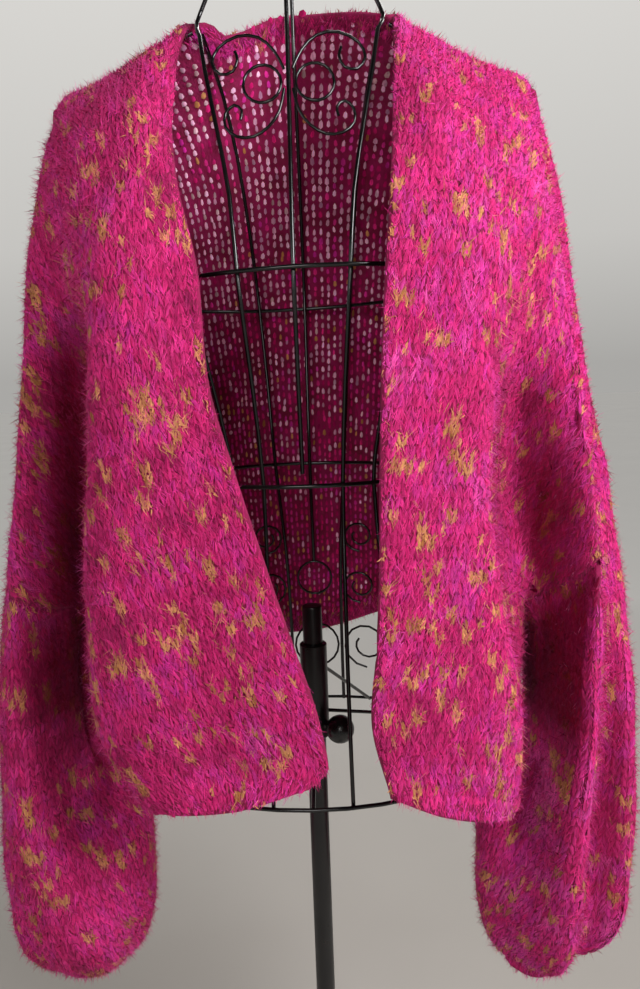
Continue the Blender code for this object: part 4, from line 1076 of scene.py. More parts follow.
def creased(cloth, held):
    """How far the listed creases move the cloth out, in metres. They end before the places held."""
    side = cloth.name.rsplit("_")[-1]
    seen = cloth.points[:, [0, 2]] * (SIDES.get(side, 1.0), 1.0) / CM
    lift = np.zeros(len(seen))
    for out1, high1, out2, high2, wide, rise in CREASES[side]:
        start, run = np.array([out1, high1]), np.array([out2 - out1, high2 - high1])
        share = ((seen - start) @ run) / (run @ run)
        away = np.linalg.norm(seen - start - np.clip(share, 0, 1)[:, None] * run, axis=1)
        ends = np.clip(np.minimum(share, 1 - share) / CREASE_ENDS, 0, 1)
        lift += rise * CM * np.exp(-((away / wide) ** 2)) * (3 * ends**2 - 2 * ends**3)
    steep, flat = CREASE_FACING
    outward = cloth.normals[:, 1] * (-1.0 if side in SIDES else 1.0)
    facing = np.clip(flat + steep * outward, 0, 1)
    return lift * facing * np.clip(nearest(cloth.points, held) / SEAM_HOLD, 0, 1)


def roll(cloth):
    """The thick rolled edge, in metres out, and the groove beside it."""
    d = cloth.edge
    bump = np.exp(-(((d - ROLL_AT) / ROLL_WIDE) ** 2))
    groove = ROLL_GROOVE * np.exp(-(((d - ROLL_AT - GROOVE_AWAY * ROLL_WIDE) / ROLL_WIDE) ** 2))
    return ROLL_RISE * np.interp(cloth.points[:, 2], *zip(*ROLL_SHARE)) * (bump - groove)


def dipped(points):
    """How far the neck's back edge sags on one side, in metres."""
    out, wide, high, tall, behind, deep, drop = NECK_DIP
    x, y, z = points.T
    inward = np.clip((y - behind) / deep, 0, 1) * np.clip((z - high) / tall, 0, 1)
    return drop * np.exp(-(((x - out) / wide) ** 4)) * inward**2


def settle(cloths):
    """Moves the cloth by its creases and waves, then gives it fresh normals and its distances from edges."""
    back = next(cloth for cloth in cloths if cloth.name == "back")
    held = back.points[back.on_seam]
    for cloth in cloths:
        below = np.clip((SHOULDER_HOLD - cloth.points[:, 2]) / SHOULDER_EASE, 0, 1)
        lift = waves(cloth.points) * below + creased(cloth, held)
        cloth.points = cloth.points + cloth.normals * lift[:, None]
    back.points[:, 2] -= dipped(back.points)
    shared_normals(cloths)
    for cloth in cloths:
        rim = np.isin(cloth.weld, rim_of(cloth))
        cloth.edge = nearest(cloth.points, cloth.points[rim & ~cloth.on_seam])
        cloth.border = nearest(cloth.points, cloth.points[rim])


def shell(cloth, materials):
    """The closed knit wall: outer and inner skin with a rounded edge."""
    weld, count = cloth.weld, cloth.weld.max() + 1
    first = np.zeros(count, int)
    first[weld] = np.arange(len(weld))
    fields = (cloth.points, cloth.normals, cloth.on_seam, roll(cloth))
    p, n, seam, rolled = (values[first] for values in fields)
    quads, rim = weld[cloth.quads], rim_of(cloth)
    a, b = weld[edges_of(cloth)].T
    total, times = np.zeros((count, 3)), np.zeros(count)
    for i, j in ((a, b), (b, a)):
        np.add.at(total, i, p[j])
        np.add.at(times, i, 1)
    inward = square_to(total / times[:, None] - p, n)
    inward /= np.maximum(np.linalg.norm(inward, axis=1), TINY)[:, None]
    on_rim = np.zeros(count, bool)
    on_rim[rim] = True
    open_rim = on_rim & ~seam
    middle = p + inward * (SEAM_PULL * (on_rim & seam))[:, None]
    thin = np.where(open_rim, EDGE_THIN, 1.0)[:, None]
    outer = middle + n * (CLOTH_T / 2 * thin + rolled[:, None])
    inner = middle - n * (CLOTH_T / 2 * thin + INNER_ROLL * rolled[:, None])
    bulge = middle - inward * (EDGE_BULGE * open_rim)[:, None] + n * (RIM_ROLL * rolled[:, None])
    points = np.concatenate([outer, inner, bulge])
    i, j = rim.T
    faces = np.concatenate([quads, quads[:, ::-1] + count, np.stack([j, i, i + 2 * count, j + 2 * count], 1),
                            np.stack([j + 2 * count, i + 2 * count, i + count, j + count], 1)])
    used = np.zeros(len(points), bool)
    used[faces] = True
    fresh = np.cumsum(used) - 1
    made = mesh_piece(cloth.name + "_knit", points[used], fresh[faces], materials)
    index = np.zeros(len(faces), np.int32)
    index[len(quads) : 2 * len(quads)] = 1
    made.data.polygons.foreach_set("material_index", index)
    return made


def skin_lift(cloth, tri, share):
    """Height of the outer skin over the middle of the cloth at shares of triangles."""
    return CLOTH_T / 2 + blend(roll(cloth), tri, share)


def legs(place, normal, over, up, start, end, wide, rise, bow, rng):
    """One soft strand for each stitch, from start to end in parts of the stitch's own width and height."""
    along, across = LEG[:, 0], LEG[:, 1]
    count = len(place)
    ends = np.array([start, end])[None] + rng.normal(0, LEG_JITTER, (count, 2, 2))
    run = ends[:, 1] - ends[:, 0]
    middle = ends[:, 0, None] + run[:, None] * along[None, :, None]
    ratio = COURSE_PITCH / WALE_PITCH
    side = np.stack([run[:, 1] * ratio, -run[:, 0] / ratio], axis=1)
    side /= np.linalg.norm(run * (1, ratio), axis=1)[:, None]
    width = wide * rng.uniform(*LEG_WIDTHS, (count, 1, 1)) * across[None, :, None]
    middle = middle + side[:, None] * width
    middle[..., 0] += bow * 4 * (along * (1 - along))[None]
    height = rise * rng.uniform(*LEG_HEIGHTS, (count, 1)) * LEG_TOPS[None]
    points = (place[:, None] + over[:, None] * (middle[..., :1] * WALE_PITCH)
              + up[:, None] * (middle[..., 1:] * COURSE_PITCH) + normal[:, None] * height[..., None])
    tilt = np.where(LEG_TOPS > LEG_CREST, 0.0, 1.0) * across
    ridge = unit(over)[:, None] * (side[:, None, :1] * tilt[None, :, None])
    return points, unit(normal[:, None] + LEG_ROUND * ridge)


def stitches(cloth, yarn, rng):
    """The outer side's stitches, each a V of two soft legs, smaller at the borders."""
    tri, share, wale, course = lattice(cloth)
    border = blend(cloth.border, tri, share)
    inside = border > BORDER_FREE
    tri, share, wale, course, border = (part[inside] for part in (tri, share, wale, course, border))
    place, normal, over, up = frames(cloth, tri, share)
    size = np.clip(border / BORDER_CALM[0], BORDER_CALM[1], 1.0)[:, None]
    over, up = over * size, up * size
    place = place + normal * (skin_lift(cloth, tri, share) - STITCH_SINK)[:, None]
    made, shades, tilts = [], [], []
    for leg, side in enumerate((-1.0, 1.0)):
        points, normals = legs(place, normal, over, up, (LEG_START[0] * side, LEG_START[1]),
                               (LEG_END[0] * side, LEG_END[1]), LEG_WIDE, LEG_RISE, LEG_BOW * side, rng)
        made.append(points)
        tilts.append(normals)
        colour = yarn.colours(wale, course, leg)
        calm = np.where(yarn.at(yarn.fleck, wale, course, leg), 0.0, LEG_CALM)[:, None]
        # The legs get painted shade where the cloth lies hidden in a fold.
        shades.append(painted_fold_shade(colour + calm * (colour.mean(axis=0) - colour), blend(cloth.open, tri, share)))
    return strands(cloth.name + "_stitches", np.concatenate(made), LEG_FACES, YARN, np.concatenate(shades),
                   np.concatenate(tilts))


def beads(cloth, yarn, rng):
    """The inner side of the back: columns of loops, many of them pale dots of painted light where light would
    come through the knit.
    """
    tri, share, wale, course = lattice(cloth, BEAD_PITCH, BEAD_COURSE)
    edge = blend(cloth.edge, tri, share)
    inside = (edge > PAINTED_LIGHT_BAND[0] / 2) & (blend(cloth.border, tri, share) > BEAD_FREE)
    tri, share, wale, course, edge = (part[inside] for part in (tri, share, wale, course, edge))
    place, normal, over, up = frames(cloth, tri, share)
    stagger = yarn.light[0, wale % YARN_FIELD, 0] + rng.normal(0, BEAD_WAVER, len(wale))
    place = place - normal * (CLOTH_T / 2 - STITCH_SINK) + up * (stagger * BEAD_COURSE)[:, None]
    # Painted light on the inner side: loops lighter than the yarn outside, and pale dots where light would
    # come through the knit, more of them higher up and none at the edge.
    colour = yarn.colours(wale, course, wale % 2) * INSIDE_PAINTED_LIGHT
    chance = np.interp(place[:, 2], *zip(*PAINTED_LIGHT_SHARE)) * (PAINTED_LIGHT_CLOUD + yarn.at(yarn.cloud, wale, course))
    chance *= np.clip((edge - PAINTED_LIGHT_BAND[0]) / (PAINTED_LIGHT_BAND[1] - PAINTED_LIGHT_BAND[0]), 0, 1)
    pale = yarn.at(yarn.pale, wale, course) < chance
    glow = linear(*PAINTED_LIGHT_TONE) * rng.uniform(*PAINTED_LIGHT_GLOW, (len(colour), 1))
    colour[pale] = PAINTED_LIGHT_REST * colour[pale] + glow[pale]
    points, normals = legs(place, -normal, -over, up, (0.0, -BEAD_HALF), (BEAD_LEAN, BEAD_HALF), BEAD_WIDE,
                           BEAD_RISE, 0.0, rng)
    return strands(cloth.name + "_loops", points, LEG_FACES, YARN, colour, normals)


class Roots:
    """Where strands of pile start: place, normal, the pattern's directions and the stitch that each is in.

    They are all over the outer side, or on the inner side beside the open edges alone.
    """

    def __init__(self, cloth, rng, per_area, inner=False):
        p = cloth.points[cloth.quads]
        whole = np.linalg.norm(np.cross(p[:, 2] - p[:, 0], p[:, 3] - p[:, 1]), axis=1).sum() / 2
        count = int(whole * per_area)
        p = cloth.points[cloth.triangles]
        area = np.linalg.norm(np.cross(p[:, 1] - p[:, 0], p[:, 2] - p[:, 0]), axis=1)
        picked = cloth.triangles[rng.choice(len(area), count, p=area / area.sum())]
        share = rng.dirichlet((1, 1, 1), count)
        self.place, self.normal, over, up = frames(cloth, picked, share)
        self.over, self.up = unit(over), unit(up)
        across = blend(cloth.over, picked, share) / WALE_PITCH
        along = blend(cloth.up, picked, share) / COURSE_PITCH
        self.wale, self.course = np.round(across).astype(int), np.round(along).astype(int)
        self.leg = (across > self.wale).astype(int)
        self.open = blend(cloth.open, picked, share)
        self.calm = np.clip(blend(cloth.border, picked, share) / BORDER_CALM[0], BORDER_CALM[1], 1.0)
        lift = skin_lift(cloth, picked, share)
        self.place = self.place + self.normal * (lift + ROOT_RISE)[:, None]
        if inner:
            back = CLOTH_T + 2 * ROOT_RISE + (1 + INNER_ROLL) * (lift - CLOTH_T / 2)
            self.place = self.place - self.normal * back[:, None]
            self.normal = -self.normal
            self.keep(blend(cloth.edge, picked, share) < INNER_PILE)

    def keep(self, which):
        for name, values in vars(self).items():
            setattr(self, name, values[which])

    def direction(self, lean, lift, down):
        """Unit directions along the legs: down or up them, turned by lean, lifted off the cloth."""
        turn = np.where(self.leg > 0, 1, -1) * LEG_LEAN + lean
        flat = self.up * np.cos(turn)[:, None] + self.over * np.sin(turn)[:, None]
        return (np.where(down, -1, 1) * np.cos(lift))[:, None] * flat + self.normal * np.sin(lift)[:, None]

    def beside(self, direction, rng):
        """Unit directions across the strands."""
        side = np.cross(direction, self.normal) + rng.normal(0, HAIR_TWIST, self.normal.shape)
        return unit(square_to(side, direction))

    def normals(self, each, rng):
        """Normals that waver from strand to strand, for strands of that many points."""
        made = unit(self.normal + rng.normal(0, HAIR_WAVER, self.normal.shape))
        return np.repeat(made[:, None], each, axis=1)

    def colours(self, yarn, rng):
        """The colour of each strand: that of its stitch, or now and then of the next one, with a painted
        sheen of pale pink and painted shade in the folds.
        """
        other = rng.random(len(self.wale)) < MINGLED
        colour = yarn.colours(self.wale + other, self.course - other, self.leg)
        colour = colour * rng.uniform(*HAIR_SHADE, (len(colour), 1))
        # Painted sheen: pale pink added at random strengths, for the haze of the fuzz.
        glow = linear(*PAINTED_SHEEN_TONE) * rng.uniform(0, PAINTED_SHEEN_SHARE, (len(colour), 1))
        return painted_fold_shade(colour + glow, self.open)


def pile(cloth, yarn, rng):
    """The brushed pile: short fine strands that lie along the stitches."""
    points, normals, shades = [], [], []
    for inner in (False, True):
        roots = Roots(cloth, rng, HAIRS_PER_AREA, inner)
        count = len(roots.wale)
        lift = np.where(rng.random(count) < HAIR_RAISED, rng.uniform(*RAISED_LIFT, count),
                        rng.uniform(*HAIR_LIFT, count))
        direction = roots.direction(rng.normal(0, HAIR_SPREAD, count), lift, rng.random(count) < DOWN_SHARE)
        side = roots.beside(direction, rng) * rng.uniform(*HAIR_WIDE, (count, 1)) / 2
        tip = roots.place + direction * rng.uniform(*HAIR_LENGTH, (count, 1)) * roots.calm[:, None]
        points.append(np.stack([roots.place - side, roots.place + side, tip], axis=1))
        normals.append(roots.normals(3, rng))
        shades.append(roots.colours(yarn, rng))
    return strands(cloth.name + "_pile", np.concatenate(points), np.array([(0, 1, 2)]), PILE,
                   np.concatenate(shades), np.concatenate(normals))


def strays(cloth, yarn, rng):
    """Longer strands that stand away from the cloth, and tufts at the flecks."""
    roots = Roots(cloth, rng, STRAYS_PER_AREA)
    tuft = yarn.at(yarn.fleck, roots.wale, roots.course, roots.leg)
    kept = tuft | (rng.random(len(tuft)) < STRAY_SHARE)
    roots.keep(kept)
    tuft = tuft[kept]
    count = len(tuft)
    lift = np.where(tuft, rng.uniform(*TUFT_LIFT, count), rng.uniform(*STRAY_LIFT, count))
    length = np.where(tuft, rng.uniform(*TUFT_LENGTH, count), rng.uniform(*STRAY_LENGTH, count))
    lean = rng.normal(0, 1, count) * np.where(tuft, TUFT_SPREAD, STRAY_SPREAD)
    first = roots.direction(lean, lift, rng.random(count) < DOWN_SHARE)
    sunk, fall = STRAY_FALL
    second = (first + rng.normal(0, STRAY_BEND, (count, 3))
              - roots.normal * np.where(tuft, TUFT_FALL, sunk)[:, None] - (0, 0, fall))
    side = roots.beside(first, rng) * (np.where(tuft, TUFT_WIDE, STRAY_WIDE)[:, None] / 2)
    half = (length / 2)[:, None]
    knee = roots.place + first * half
    points = np.stack([roots.place - side, roots.place + side, knee - side, knee + side,
                       knee + unit(second) * half], axis=1)
    normals = roots.normals(5, rng)
    return strands(cloth.name + "_strays", points, STRAY_FACES, PILE, roots.colours(yarn, rng), normals)


# Materials


def shader(name, colour, rough, sheen=0.0):
    """A Principled material and the things to link to."""
    made = bpy.data.materials.new(name)
    made.use_nodes = True
    core = made.node_tree.nodes["Principled BSDF"]
    core.inputs["Base Color"].default_value = (*colour, 1.0)
    core.inputs["Roughness"].default_value = rough
    core.inputs["Sheen Weight"].default_value = sheen
    if sheen:
        core.inputs["Sheen Tint"].default_value = (*linear(*SHEEN_TONE), 1.0)
    return made, made.node_tree, core


def node(tree, kind, **inputs):
    made = tree.nodes.new(kind)
    for name, value in inputs.items():
        socket = made.inputs[name.replace("_", " ")]
        if isinstance(value, bpy.types.NodeSocket):
            tree.links.new(value, socket)
        else:
            socket.default_value = value
    return made


def place_in(tree, upright=1.0):
    """Object coordinates, with the heights scaled."""
    coords = tree.nodes.new("ShaderNodeTexCoord")
    scale = (1, 1, upright)
    return node(tree, "ShaderNodeMapping", Vector=coords.outputs["Object"], Scale=scale).outputs["Vector"]


def noise(tree, scale, where, detail=COARSE_DETAIL):
    return node(tree, "ShaderNodeTexNoise", Vector=where, Scale=scale, Detail=detail).outputs["Fac"]


def ramp(tree, fac, stops):
    """A ramp of (place, value), where a value is three screen colours or one plain number."""
    made = node(tree, "ShaderNodeValToRGB", Fac=fac)
    bar = made.color_ramp.elements
    while len(bar) < len(stops):
        bar.new(0.5)
    for element, (at, value) in zip(bar, stops):
        element.position = at
        element.color = (*(linear(*value) if np.ndim(value) else (value,) * 3), 1.0)
    return made.outputs["Color"]


def bumped(tree, core, height, distance, strength=1.0):
    bump = node(tree, "ShaderNodeBump", Height=height, Distance=distance, Strength=strength)
    tree.links.new(bump.outputs["Normal"], core.inputs["Normal"])


def ground_material(name, tones):
    """The felted ground under the stitches, darker than the yarn: painted shade in the gaps between them."""
    made, tree, core = shader(name, linear(*tones[0]), GROUND_ROUGH, GROUND_SHEEN)
    colour = ramp(tree, noise(tree, GROUND_PATCH, place_in(tree)), list(zip(GROUND_STOPS, tones)))
    tree.links.new(colour, core.inputs["Base Color"])
    bumped(tree, core, noise(tree, FELT_SCALE, place_in(tree, FELT_UPRIGHT), FINE_DETAIL), FELT_BUMP)
    return made


def yarn_material(name, sheen, fibre):
    """Yarn whose colour each strand carries, with fine fibres."""
    made, tree, core = shader(name, YARN_BASE, YARN_ROUGH, sheen)
    core.inputs["Sheen Roughness"].default_value = SHEEN_ROUGH
    core.inputs["Specular IOR Level"].default_value = YARN_GLOSS
    colour = tree.nodes.new("ShaderNodeAttribute")
    colour.attribute_name = "yarn"
    streak = ramp(tree, noise(tree, fibre, place_in(tree, FIBRE_UPRIGHT), FINE_DETAIL), FIBRE_STOPS)
    mix = node(tree, "ShaderNodeMix")
    mix.data_type = "RGBA"
    mix.blend_type = "MULTIPLY"
    mix.inputs[0].default_value = 1.0
    tree.links.new(colour.outputs["Color"], mix.inputs[6])
    tree.links.new(streak, mix.inputs[7])
    tree.links.new(mix.outputs[2], core.inputs["Base Color"])
    return made


def paint_material(name, rough, patch):
    """Satin black enamel, with dust and slight unevenness."""
    made, tree, core = shader(name, linear(*PAINT_BASE), rough)
    where = place_in(tree)
    colour = ramp(tree, noise(tree, patch, where), PAINT_STOPS)
    tree.links.new(colour, core.inputs["Base Color"])
    stops = [(at, rough * share) for at, share in PAINT_WORN]
    shade = ramp(tree, noise(tree, patch * 3, where), stops)
    tree.links.new(shade, core.inputs["Roughness"])
    bumped(tree, core, noise(tree, PAINT_GRAIN, where, FINE_DETAIL), PAINT_BUMP, PAINT_RELIEF)
    return made


def floor_material():
    made, tree, core = shader("studio_floor", linear(*FLOOR_BASE), FLOOR_ROUGH)
    where = place_in(tree)
    tree.links.new(ramp(tree, noise(tree, FLOOR_PATCH, where), FLOOR_STOPS), core.inputs["Base Color"])
    away = node(tree, "ShaderNodeVectorMath", Vector=where)
    away.operation = "LENGTH"
    glow = node(tree, "ShaderNodeMapRange", Value=away.outputs["Value"], From_Min=FLOOR_FADE[0],
                From_Max=FLOOR_FADE[1], To_Min=0.0, To_Max=FLOOR_GLOW)
    core.inputs["Emission Color"].default_value = (*linear(*WORLD_TONE), 1.0)
    tree.links.new(glow.outputs["Result"], core.inputs["Emission Strength"])
    return made


ENAMEL = paint_material("black_enamel", 0.17, 40.0)
PAINT = paint_material("black_paint", 0.34, 25.0)
KNOB_FINISH = paint_material("black_knob", 0.28, 60.0)
# The grounds are darker than the yarn: painted shade in the gaps between stitches and between loops.
GROUND = ground_material("knit_ground", ((120, 12, 58), (160, 22, 84)))
PURL = ground_material("knit_inside", ((122, 3, 54), (160, 10, 86)))
YARN = yarn_material("yarn", 0.25, 380.0)
PILE = yarn_material("yarn_pile", 0.3, 260.0)


# The wires


def wire(name, points, radius, closed=False):
    """A round enamelled wire in place of the solid of that name."""
    curve = bpy.data.curves.new("wire_" + name, "CURVE")
    curve.dimensions = "3D"
    spline = curve.splines.new("POLY")
    spline.points.add(len(points) - 1)
    for point, place in zip(spline.points, points):
        point.co = (*place, 1.0)
    spline.use_cyclic_u = closed
    spline.use_smooth = True
    curve.bevel_depth = radius
    curve.bevel_resolution = 2
    curve.use_fill_caps = not closed
    curve.materials.append(ENAMEL)
    made = add_object("wire_" + name, curve)
    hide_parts(name)
    return ride_on_form(made)


def smooth_wire(name, places, radius=WIRE_R):
    """A wire on a round curve through the places."""
    wire(name, through(places, [WIRE_STRETCHES] * (len(places) - 1)), radius)


def form_sizes(height):
    """Half width, depth in front and depth behind of the form at a height, in centimetres."""
    return read_table([row[0] for row in FORM], [row[1:] for row in FORM], height)[0]


def on_form(height, out, behind=False, sign=1.0):
    """The place of a wire just inside the form's surface, at a height and a distance out, in metres."""
    half, front, back = form_sizes(height)
    deep = back if behind else front
    share = min(abs(out) / half, 1.0)
    bulge = math.sqrt(max(0.0, 1 - share * share))
    normal = Vector((share / half, bulge / deep)).normalized()
    away = deep * bulge * CM - normal.y * WIRE_STEP
    return Vector((sign * (out * CM - normal.x * WIRE_STEP), away if behind else -away, height * CM))


def run_on_form(table, behind=False, sign=1.0):
    return [on_form(height, out, behind, sign) for height, out in table]


def ring(name, height):
    """A ring round the form, which may lean up in front and up on the left."""
    half, front, back = form_sizes(height / CM)
    front_rise, left_rise = RING_LEANS.get(name, (0.0, 0.0))
    places = []
    for i in range(RING_POINTS):
        turn = 2 * math.pi * i / RING_POINTS
        depth = front if math.sin(turn) < 0 else back
        rise = left_rise * math.cos(turn) - front_rise * math.sin(turn)
        places.append((half * CM * math.cos(turn), depth * CM * math.sin(turn), height + rise))
    wire(name, places, WIRE_R, closed=True)


def on_side(places, sign):
    """Places (out, back, height) in metres, on one side."""
    return [Vector((sign * out, back, height)) for out, back, height in places]


def long_wires():
    for side, sign in SIDES.items():
        neck = [(out * CM, -NECK_ADVANCE * i, height * CM) for i, (height, out) in enumerate(PRINCESS_NECK)]
        smooth_wire("princess_front_" + side, on_side(neck, sign) + run_on_form(PRINCESS, False, sign))
        start = on_side([BACK_PRINCESS_START], sign)
        smooth_wire("princess_back_" + side, start + run_on_form(BACK_PRINCESS, True, sign))
        smooth_wire("side_front_" + side, run_on_form(SIDE_FRONT, False, sign))
        seam = [(out * CM, 0.0, shoulder_height(out) * CM - UNDER_SHOULDER) for out in SHOULDER_WIRE_OUTS]
        arm = [(out * CM, 0.0, height * CM) for height, out in ARM_WIRE]
        smooth_wire("shoulder_" + side, on_side([SHOULDER_WIRE_START] + seam + arm, sign))
    smooth_wire("centre_front", run_on_form([(height, 0.0) for height in CENTRE_FRONT]))
    smooth_wire("centre_back", run_on_form([(height, 0.0) for height in CENTRE_BACK], True))


def spiral(out, height, radius, sign):
    """Places of a scroll behind, which winds in from its outer turn."""
    places = []
    for i in range(LOOP_POINTS + 1):
        share = i / LOOP_POINTS
        turn = -math.pi / 2 + SCROLL_TURNS * 2 * math.pi * share
        reach = radius * (1 - SCROLL_WIND * share)
        places.append(on_form(height + reach * math.sin(turn), out - reach * math.cos(turn), True, sign))
    return places


def loop_wire(name, out, height, radius, behind, sign=1.0):
    places = []
    for i in range(LOOP_POINTS):
        turn = 2 * math.pi * i / LOOP_POINTS
        at_out = out + radius * math.cos(turn)
        flip = sign if at_out >= 0 else -sign
        places.append(on_form(height + radius * math.sin(turn), abs(at_out), behind, flip))
    wire(name, places, SCROLL_R, closed=True)


def scrolls():
    for side, sign in SIDES.items():
        for name, table in CHEST_SCROLLS.items():
            places = [on_form(height, out, False, sign) for out, height in table]
            smooth_wire(f"{name}_{side}", places, SCROLL_R)
        loop_wire("chest_loop_" + side, *CHEST_LOOP, False, sign)
        for name, place in HIP_SCROLLS.items():
            wire(f"{name}_{side}", spiral(*place, sign), SCROLL_R)
    for name, place in HIP_LOOPS.items():
        loop_wire(name, *place, True)


def struts():
    """Straight wires from the collar down to the inner side of the hip ring."""
    half, front, back = form_sizes(HIP_HEIGHT / CM)
    for name, (height, degrees, short) in STRUTS.items():
        turn = math.radians(degrees)
        depth = back if math.sin(turn) > 0 else front
        reach = Vector((half * math.cos(turn), depth * math.sin(turn), 0)) * CM
        direction = reach.normalized()
        tilt = math.atan2(height * CM - HIP_HEIGHT, reach.length)
        seat = WIRE_R * math.sin(tilt) + GAP
        start = direction * (COLLAR_R + seat) + Vector((0, 0, height * CM))
        end = direction * (reach.length - short * CM - seat) + Vector((0, 0, HIP_HEIGHT))
        wire(name, [start, start.lerp(end, 0.5), end], WIRE_R)


def build_form():
    for name, height in RINGS.items():
        ring(name, height)
    long_wires()
    scrolls()
    struts()


# The stand


def turned(name, profile, sides, material, body):
    """A smooth turned piece in place of the solid of that name, from (radius, height) pairs."""
    points, faces, rows = [], [], []
    for radius, height in profile:
        count = sides if radius else 1
        rows.append([len(points) + i for i in range(count)])
        for i in range(count):
            turn = 2 * math.pi * i / sides
            points.append((radius * math.cos(turn), radius * math.sin(turn), height))
    if profile[0][0]:
        rows.append(rows[0])
    for low, high in zip(rows, rows[1:]):
        for i in range(sides):
            j = (i + 1) % sides
            corners = (low[i % len(low)], low[j % len(low)], high[j % len(high)], high[i % len(high)])
            faces.append(tuple(dict.fromkeys(corners)))
    mesh = bpy.data.meshes.new(name + "_turned")
    mesh.from_pydata(points, [], faces)
    mesh.shade_smooth()
    mesh.set_sharp_from_angle(angle=SHARP_ANGLE)
    mesh.materials.append(material)
    made = add_object(name + "_turned", mesh)
    if name == "knob":
        made.rotation_euler = (0.0, math.pi / 2, KNOB_BEARING)
        made.location = (0.0, 0.0, KNOB_HEIGHT)
    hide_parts(name)
    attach(made, body)


def rounded(radius, top, corner):
    """The rounded edge of that size under a top, as (radius, height) from its lower end."""
    low = top - corner
    turns = [math.pi / 2 * i / ROUND_STEPS for i in range(ROUND_STEPS + 1)]
    return [(radius - corner * (1 - math.cos(turn)), low + (top - low) * math.sin(turn)) for turn in turns]


def build_stand():
    hole, foot, inner = POLE_R + GAP, SOCKET_FLOOR + GAP, POLE_R + RUN_GAP
    base = [(0.0, 0.0), (BASE_R - BASE_EDGE, 0.0), (BASE_R - BASE_UNDER[0], BASE_UNDER[1])]
    base += [(BASE_R, BASE_EDGE)] + rounded(BASE_R, BASE_T, BASE_EDGE)
    base += [(radius, BASE_T + rise) for radius, rise in SOCKET_FOOT]
    base += [(radius, SOCKET_HEIGHT - drop) for radius, drop in SOCKET_RIM]
    base += [(hole, SOCKET_HEIGHT), (hole, SOCKET_FLOOR), (0.0, SOCKET_FLOOR)]
    turned("base", base, BASE_SIDES, PAINT, "stand")
    pole = [(0.0, foot), (POLE_R, foot), (POLE_R, POLE_TOP - POLE_CHAMFER)]
    pole += rounded(POLE_R, POLE_TOP, POLE_CHAMFER) + [(0.0, POLE_TOP)]
    turned("pole", pole, TUBE_SIDES, PAINT, "stand")
    edge = COLLAR_R - COLLAR_EDGE
    collar = [(inner, COLLAR_LOW), (edge, COLLAR_LOW), (COLLAR_R, COLLAR_LOW + COLLAR_EDGE),
              (COLLAR_R, COLLAR_HIGH - COLLAR_EDGE), (edge, COLLAR_HIGH), (inner, COLLAR_HIGH)]
    turned("collar", collar, TUBE_SIDES, PAINT, "form")
    start = COLLAR_R + GAP
    middle = start + KNOB_NECK + KNOB_R
    knob = [(0.0, start), (KNOB_NECK_R, start), (KNOB_NECK_R, start + KNOB_NECK)]
    for i in range(KNOB_FIRST, KNOB_STEPS):
        turn = math.pi * i / KNOB_STEPS
        knob.append((KNOB_R * math.sin(turn), middle - KNOB_R * math.cos(turn)))
    knob.append((0.0, middle + KNOB_R))
    turned("knob", knob, KNOB_SIDES, KNOB_FINISH, "knob")


# The cardigan


def turns_over(rows, table, grown=1.0, skipped=0.0):
    """The wales' turns at a grid's points, in radians, from a table over the solids' steps.

    grown is the share of them in each row, and skipped counts the table's steps before the grid.
    """
    at, degrees = np.transpose(table)
    across = np.radians(np.interp(np.arange(rows.shape[1]) / FINE, at - skipped, degrees))
    return across * np.broadcast_to(grown, len(rows))[:, None]


def body_cloths():
    """The five pieces of the cardigan as fine surfaces, meeting at their seams."""
    fronts = {side: front_grids(side) for side in SIDES}
    upper, lower = back_grids(fronts)
    grown = TOP_TURN + (1 - TOP_TURN) * np.linspace(0, 1, UPPER_ROWS + 1)
    made = []
    for side, sign in SIDES.items():
        grids = fronts[side]
        turns = [turns_over(rows, FRONT_TURNS[side], share) for rows, share in zip(grids, (grown, 1.0))]
        made.append(Cloth("front_" + side, grids, turns, sign < 0))
    turns = []
    for rows in (upper, lower):
        middle = rows.shape[1] // 2
        skipped = (upper.shape[1] // 2 - middle) / FINE
        left = turns_over(rows[:, : middle + 1], BACK_TURNS, skipped=skipped)
        turns.append(np.concatenate([left, -left[:, -2::-1]], axis=1))
    made.append(Cloth("back", (upper, lower), turns, False))
    for side, sign in SIDES.items():
        rows = sleeve_grid(side, sleeve_rim(side, fronts[side][0], upper))
        straight = np.zeros((len(rows), rows.shape[1] + 1))
        made.append(Cloth("sleeve_" + side, (rows,), (straight,), sign < 0, tube=True))
    return made


def build_cardigan():
    cloths = body_cloths()
    shared_normals(cloths)
    settle(cloths)
    openness(cloths)
    for number, cloth in enumerate(cloths):
        rng = np.random.default_rng(DRAW_SEED + number)
        chart(cloth)
        yarn = Yarn(YARN_SEED + number)
        piece = shell(cloth, [GROUND, PURL])
        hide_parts(cloth.name)
        ride_on_form(piece)
        makers = (stitches, beads, pile, strays) if cloth.name == "back" else (stitches, pile, strays)
        extra = [make(cloth, yarn, rng) for make in makers]


# The picture


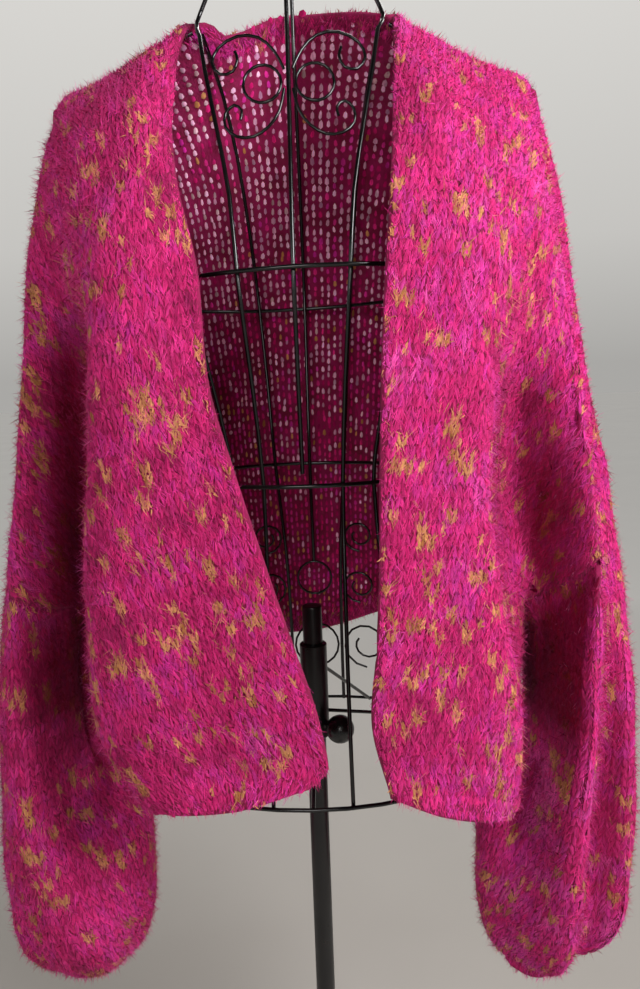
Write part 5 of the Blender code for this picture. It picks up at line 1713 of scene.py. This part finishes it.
def add_camera():
    pitch, yaw, lean = (math.radians(turn) for turn in CAMERA_TURNS)
    ahead = Vector((math.sin(yaw) * math.cos(pitch), math.cos(yaw) * math.cos(pitch), -math.sin(pitch)))
    right = Vector((math.cos(yaw), -math.sin(yaw), 0.0))
    up = right.cross(ahead)
    rolled = right * math.cos(lean) - up * math.sin(lean)
    upright = right * math.sin(lean) + up * math.cos(lean)
    data = bpy.data.cameras.new("camera")
    data.sensor_fit = "VERTICAL"
    data.sensor_height = CAMERA_SENSOR
    data.lens = CAMERA_LENS
    data.clip_start = CAMERA_NEAR
    camera = add_object("camera", data)
    turned_to = Matrix((rolled, upright, -ahead)).transposed().to_4x4()
    camera.matrix_world = Matrix.Translation(CAMERA_PLACE) @ turned_to
    bpy.context.scene.camera = camera


def add_light(name, place, size, power, colour):
    data = bpy.data.lights.new(name, "AREA")
    data.shape = "RECTANGLE"
    data.size, data.size_y = size
    data.energy = power
    data.color = colour
    lamp = add_object(name, data)
    lamp.location = place
    lamp.rotation_euler = (Vector(LIGHTS_AIM) - Vector(place)).to_track_quat("-Z", "Y").to_euler()


def build_studio():
    world = bpy.data.worlds.new("studio")
    world.use_nodes = True
    tree = world.node_tree
    background = tree.nodes["Background"]
    background.inputs["Color"].default_value = (*linear(*WORLD_TONE), 1.0)
    coords = tree.nodes.new("ShaderNodeTexCoord")
    way = node(tree, "ShaderNodeSeparateXYZ", Vector=coords.outputs["Generated"]).outputs
    room = node(tree, "ShaderNodeMapRange", Value=way["Y"], From_Min=WORLD_ROOM[0], From_Max=WORLD_ROOM[1],
                To_Min=WORLD_ROOM_SHARE)
    power = node(tree, "ShaderNodeMath", Value=ramp(tree, way["Z"], WORLD_POWERS))
    power.operation = "MULTIPLY"
    tree.links.new(room.outputs["Result"], power.inputs[1])
    seen = node(tree, "ShaderNodeMix", A=power.outputs["Value"], B=ramp(tree, way["Z"], WORLD_SEEN))
    tree.links.new(tree.nodes.new("ShaderNodeLightPath").outputs["Is Camera Ray"], seen.inputs["Factor"])
    tree.links.new(seen.outputs["Result"], background.inputs["Strength"])
    bpy.context.scene.world = world
    corners = [(x * FLOOR_HALF, y * FLOOR_HALF, 0) for x, y in ((-1, -1), (1, -1), (1, 1), (-1, 1))]
    mesh_piece("floor", corners, [(0, 1, 2, 3)], [floor_material()])
    for name, light in LIGHTS.items():
        add_light(name, *light)
    add_camera()
    view = bpy.context.scene.view_settings
    view.view_transform = "Standard"
    view.look = "None"


build_cardigan()
build_form()
build_stand()
build_studio()
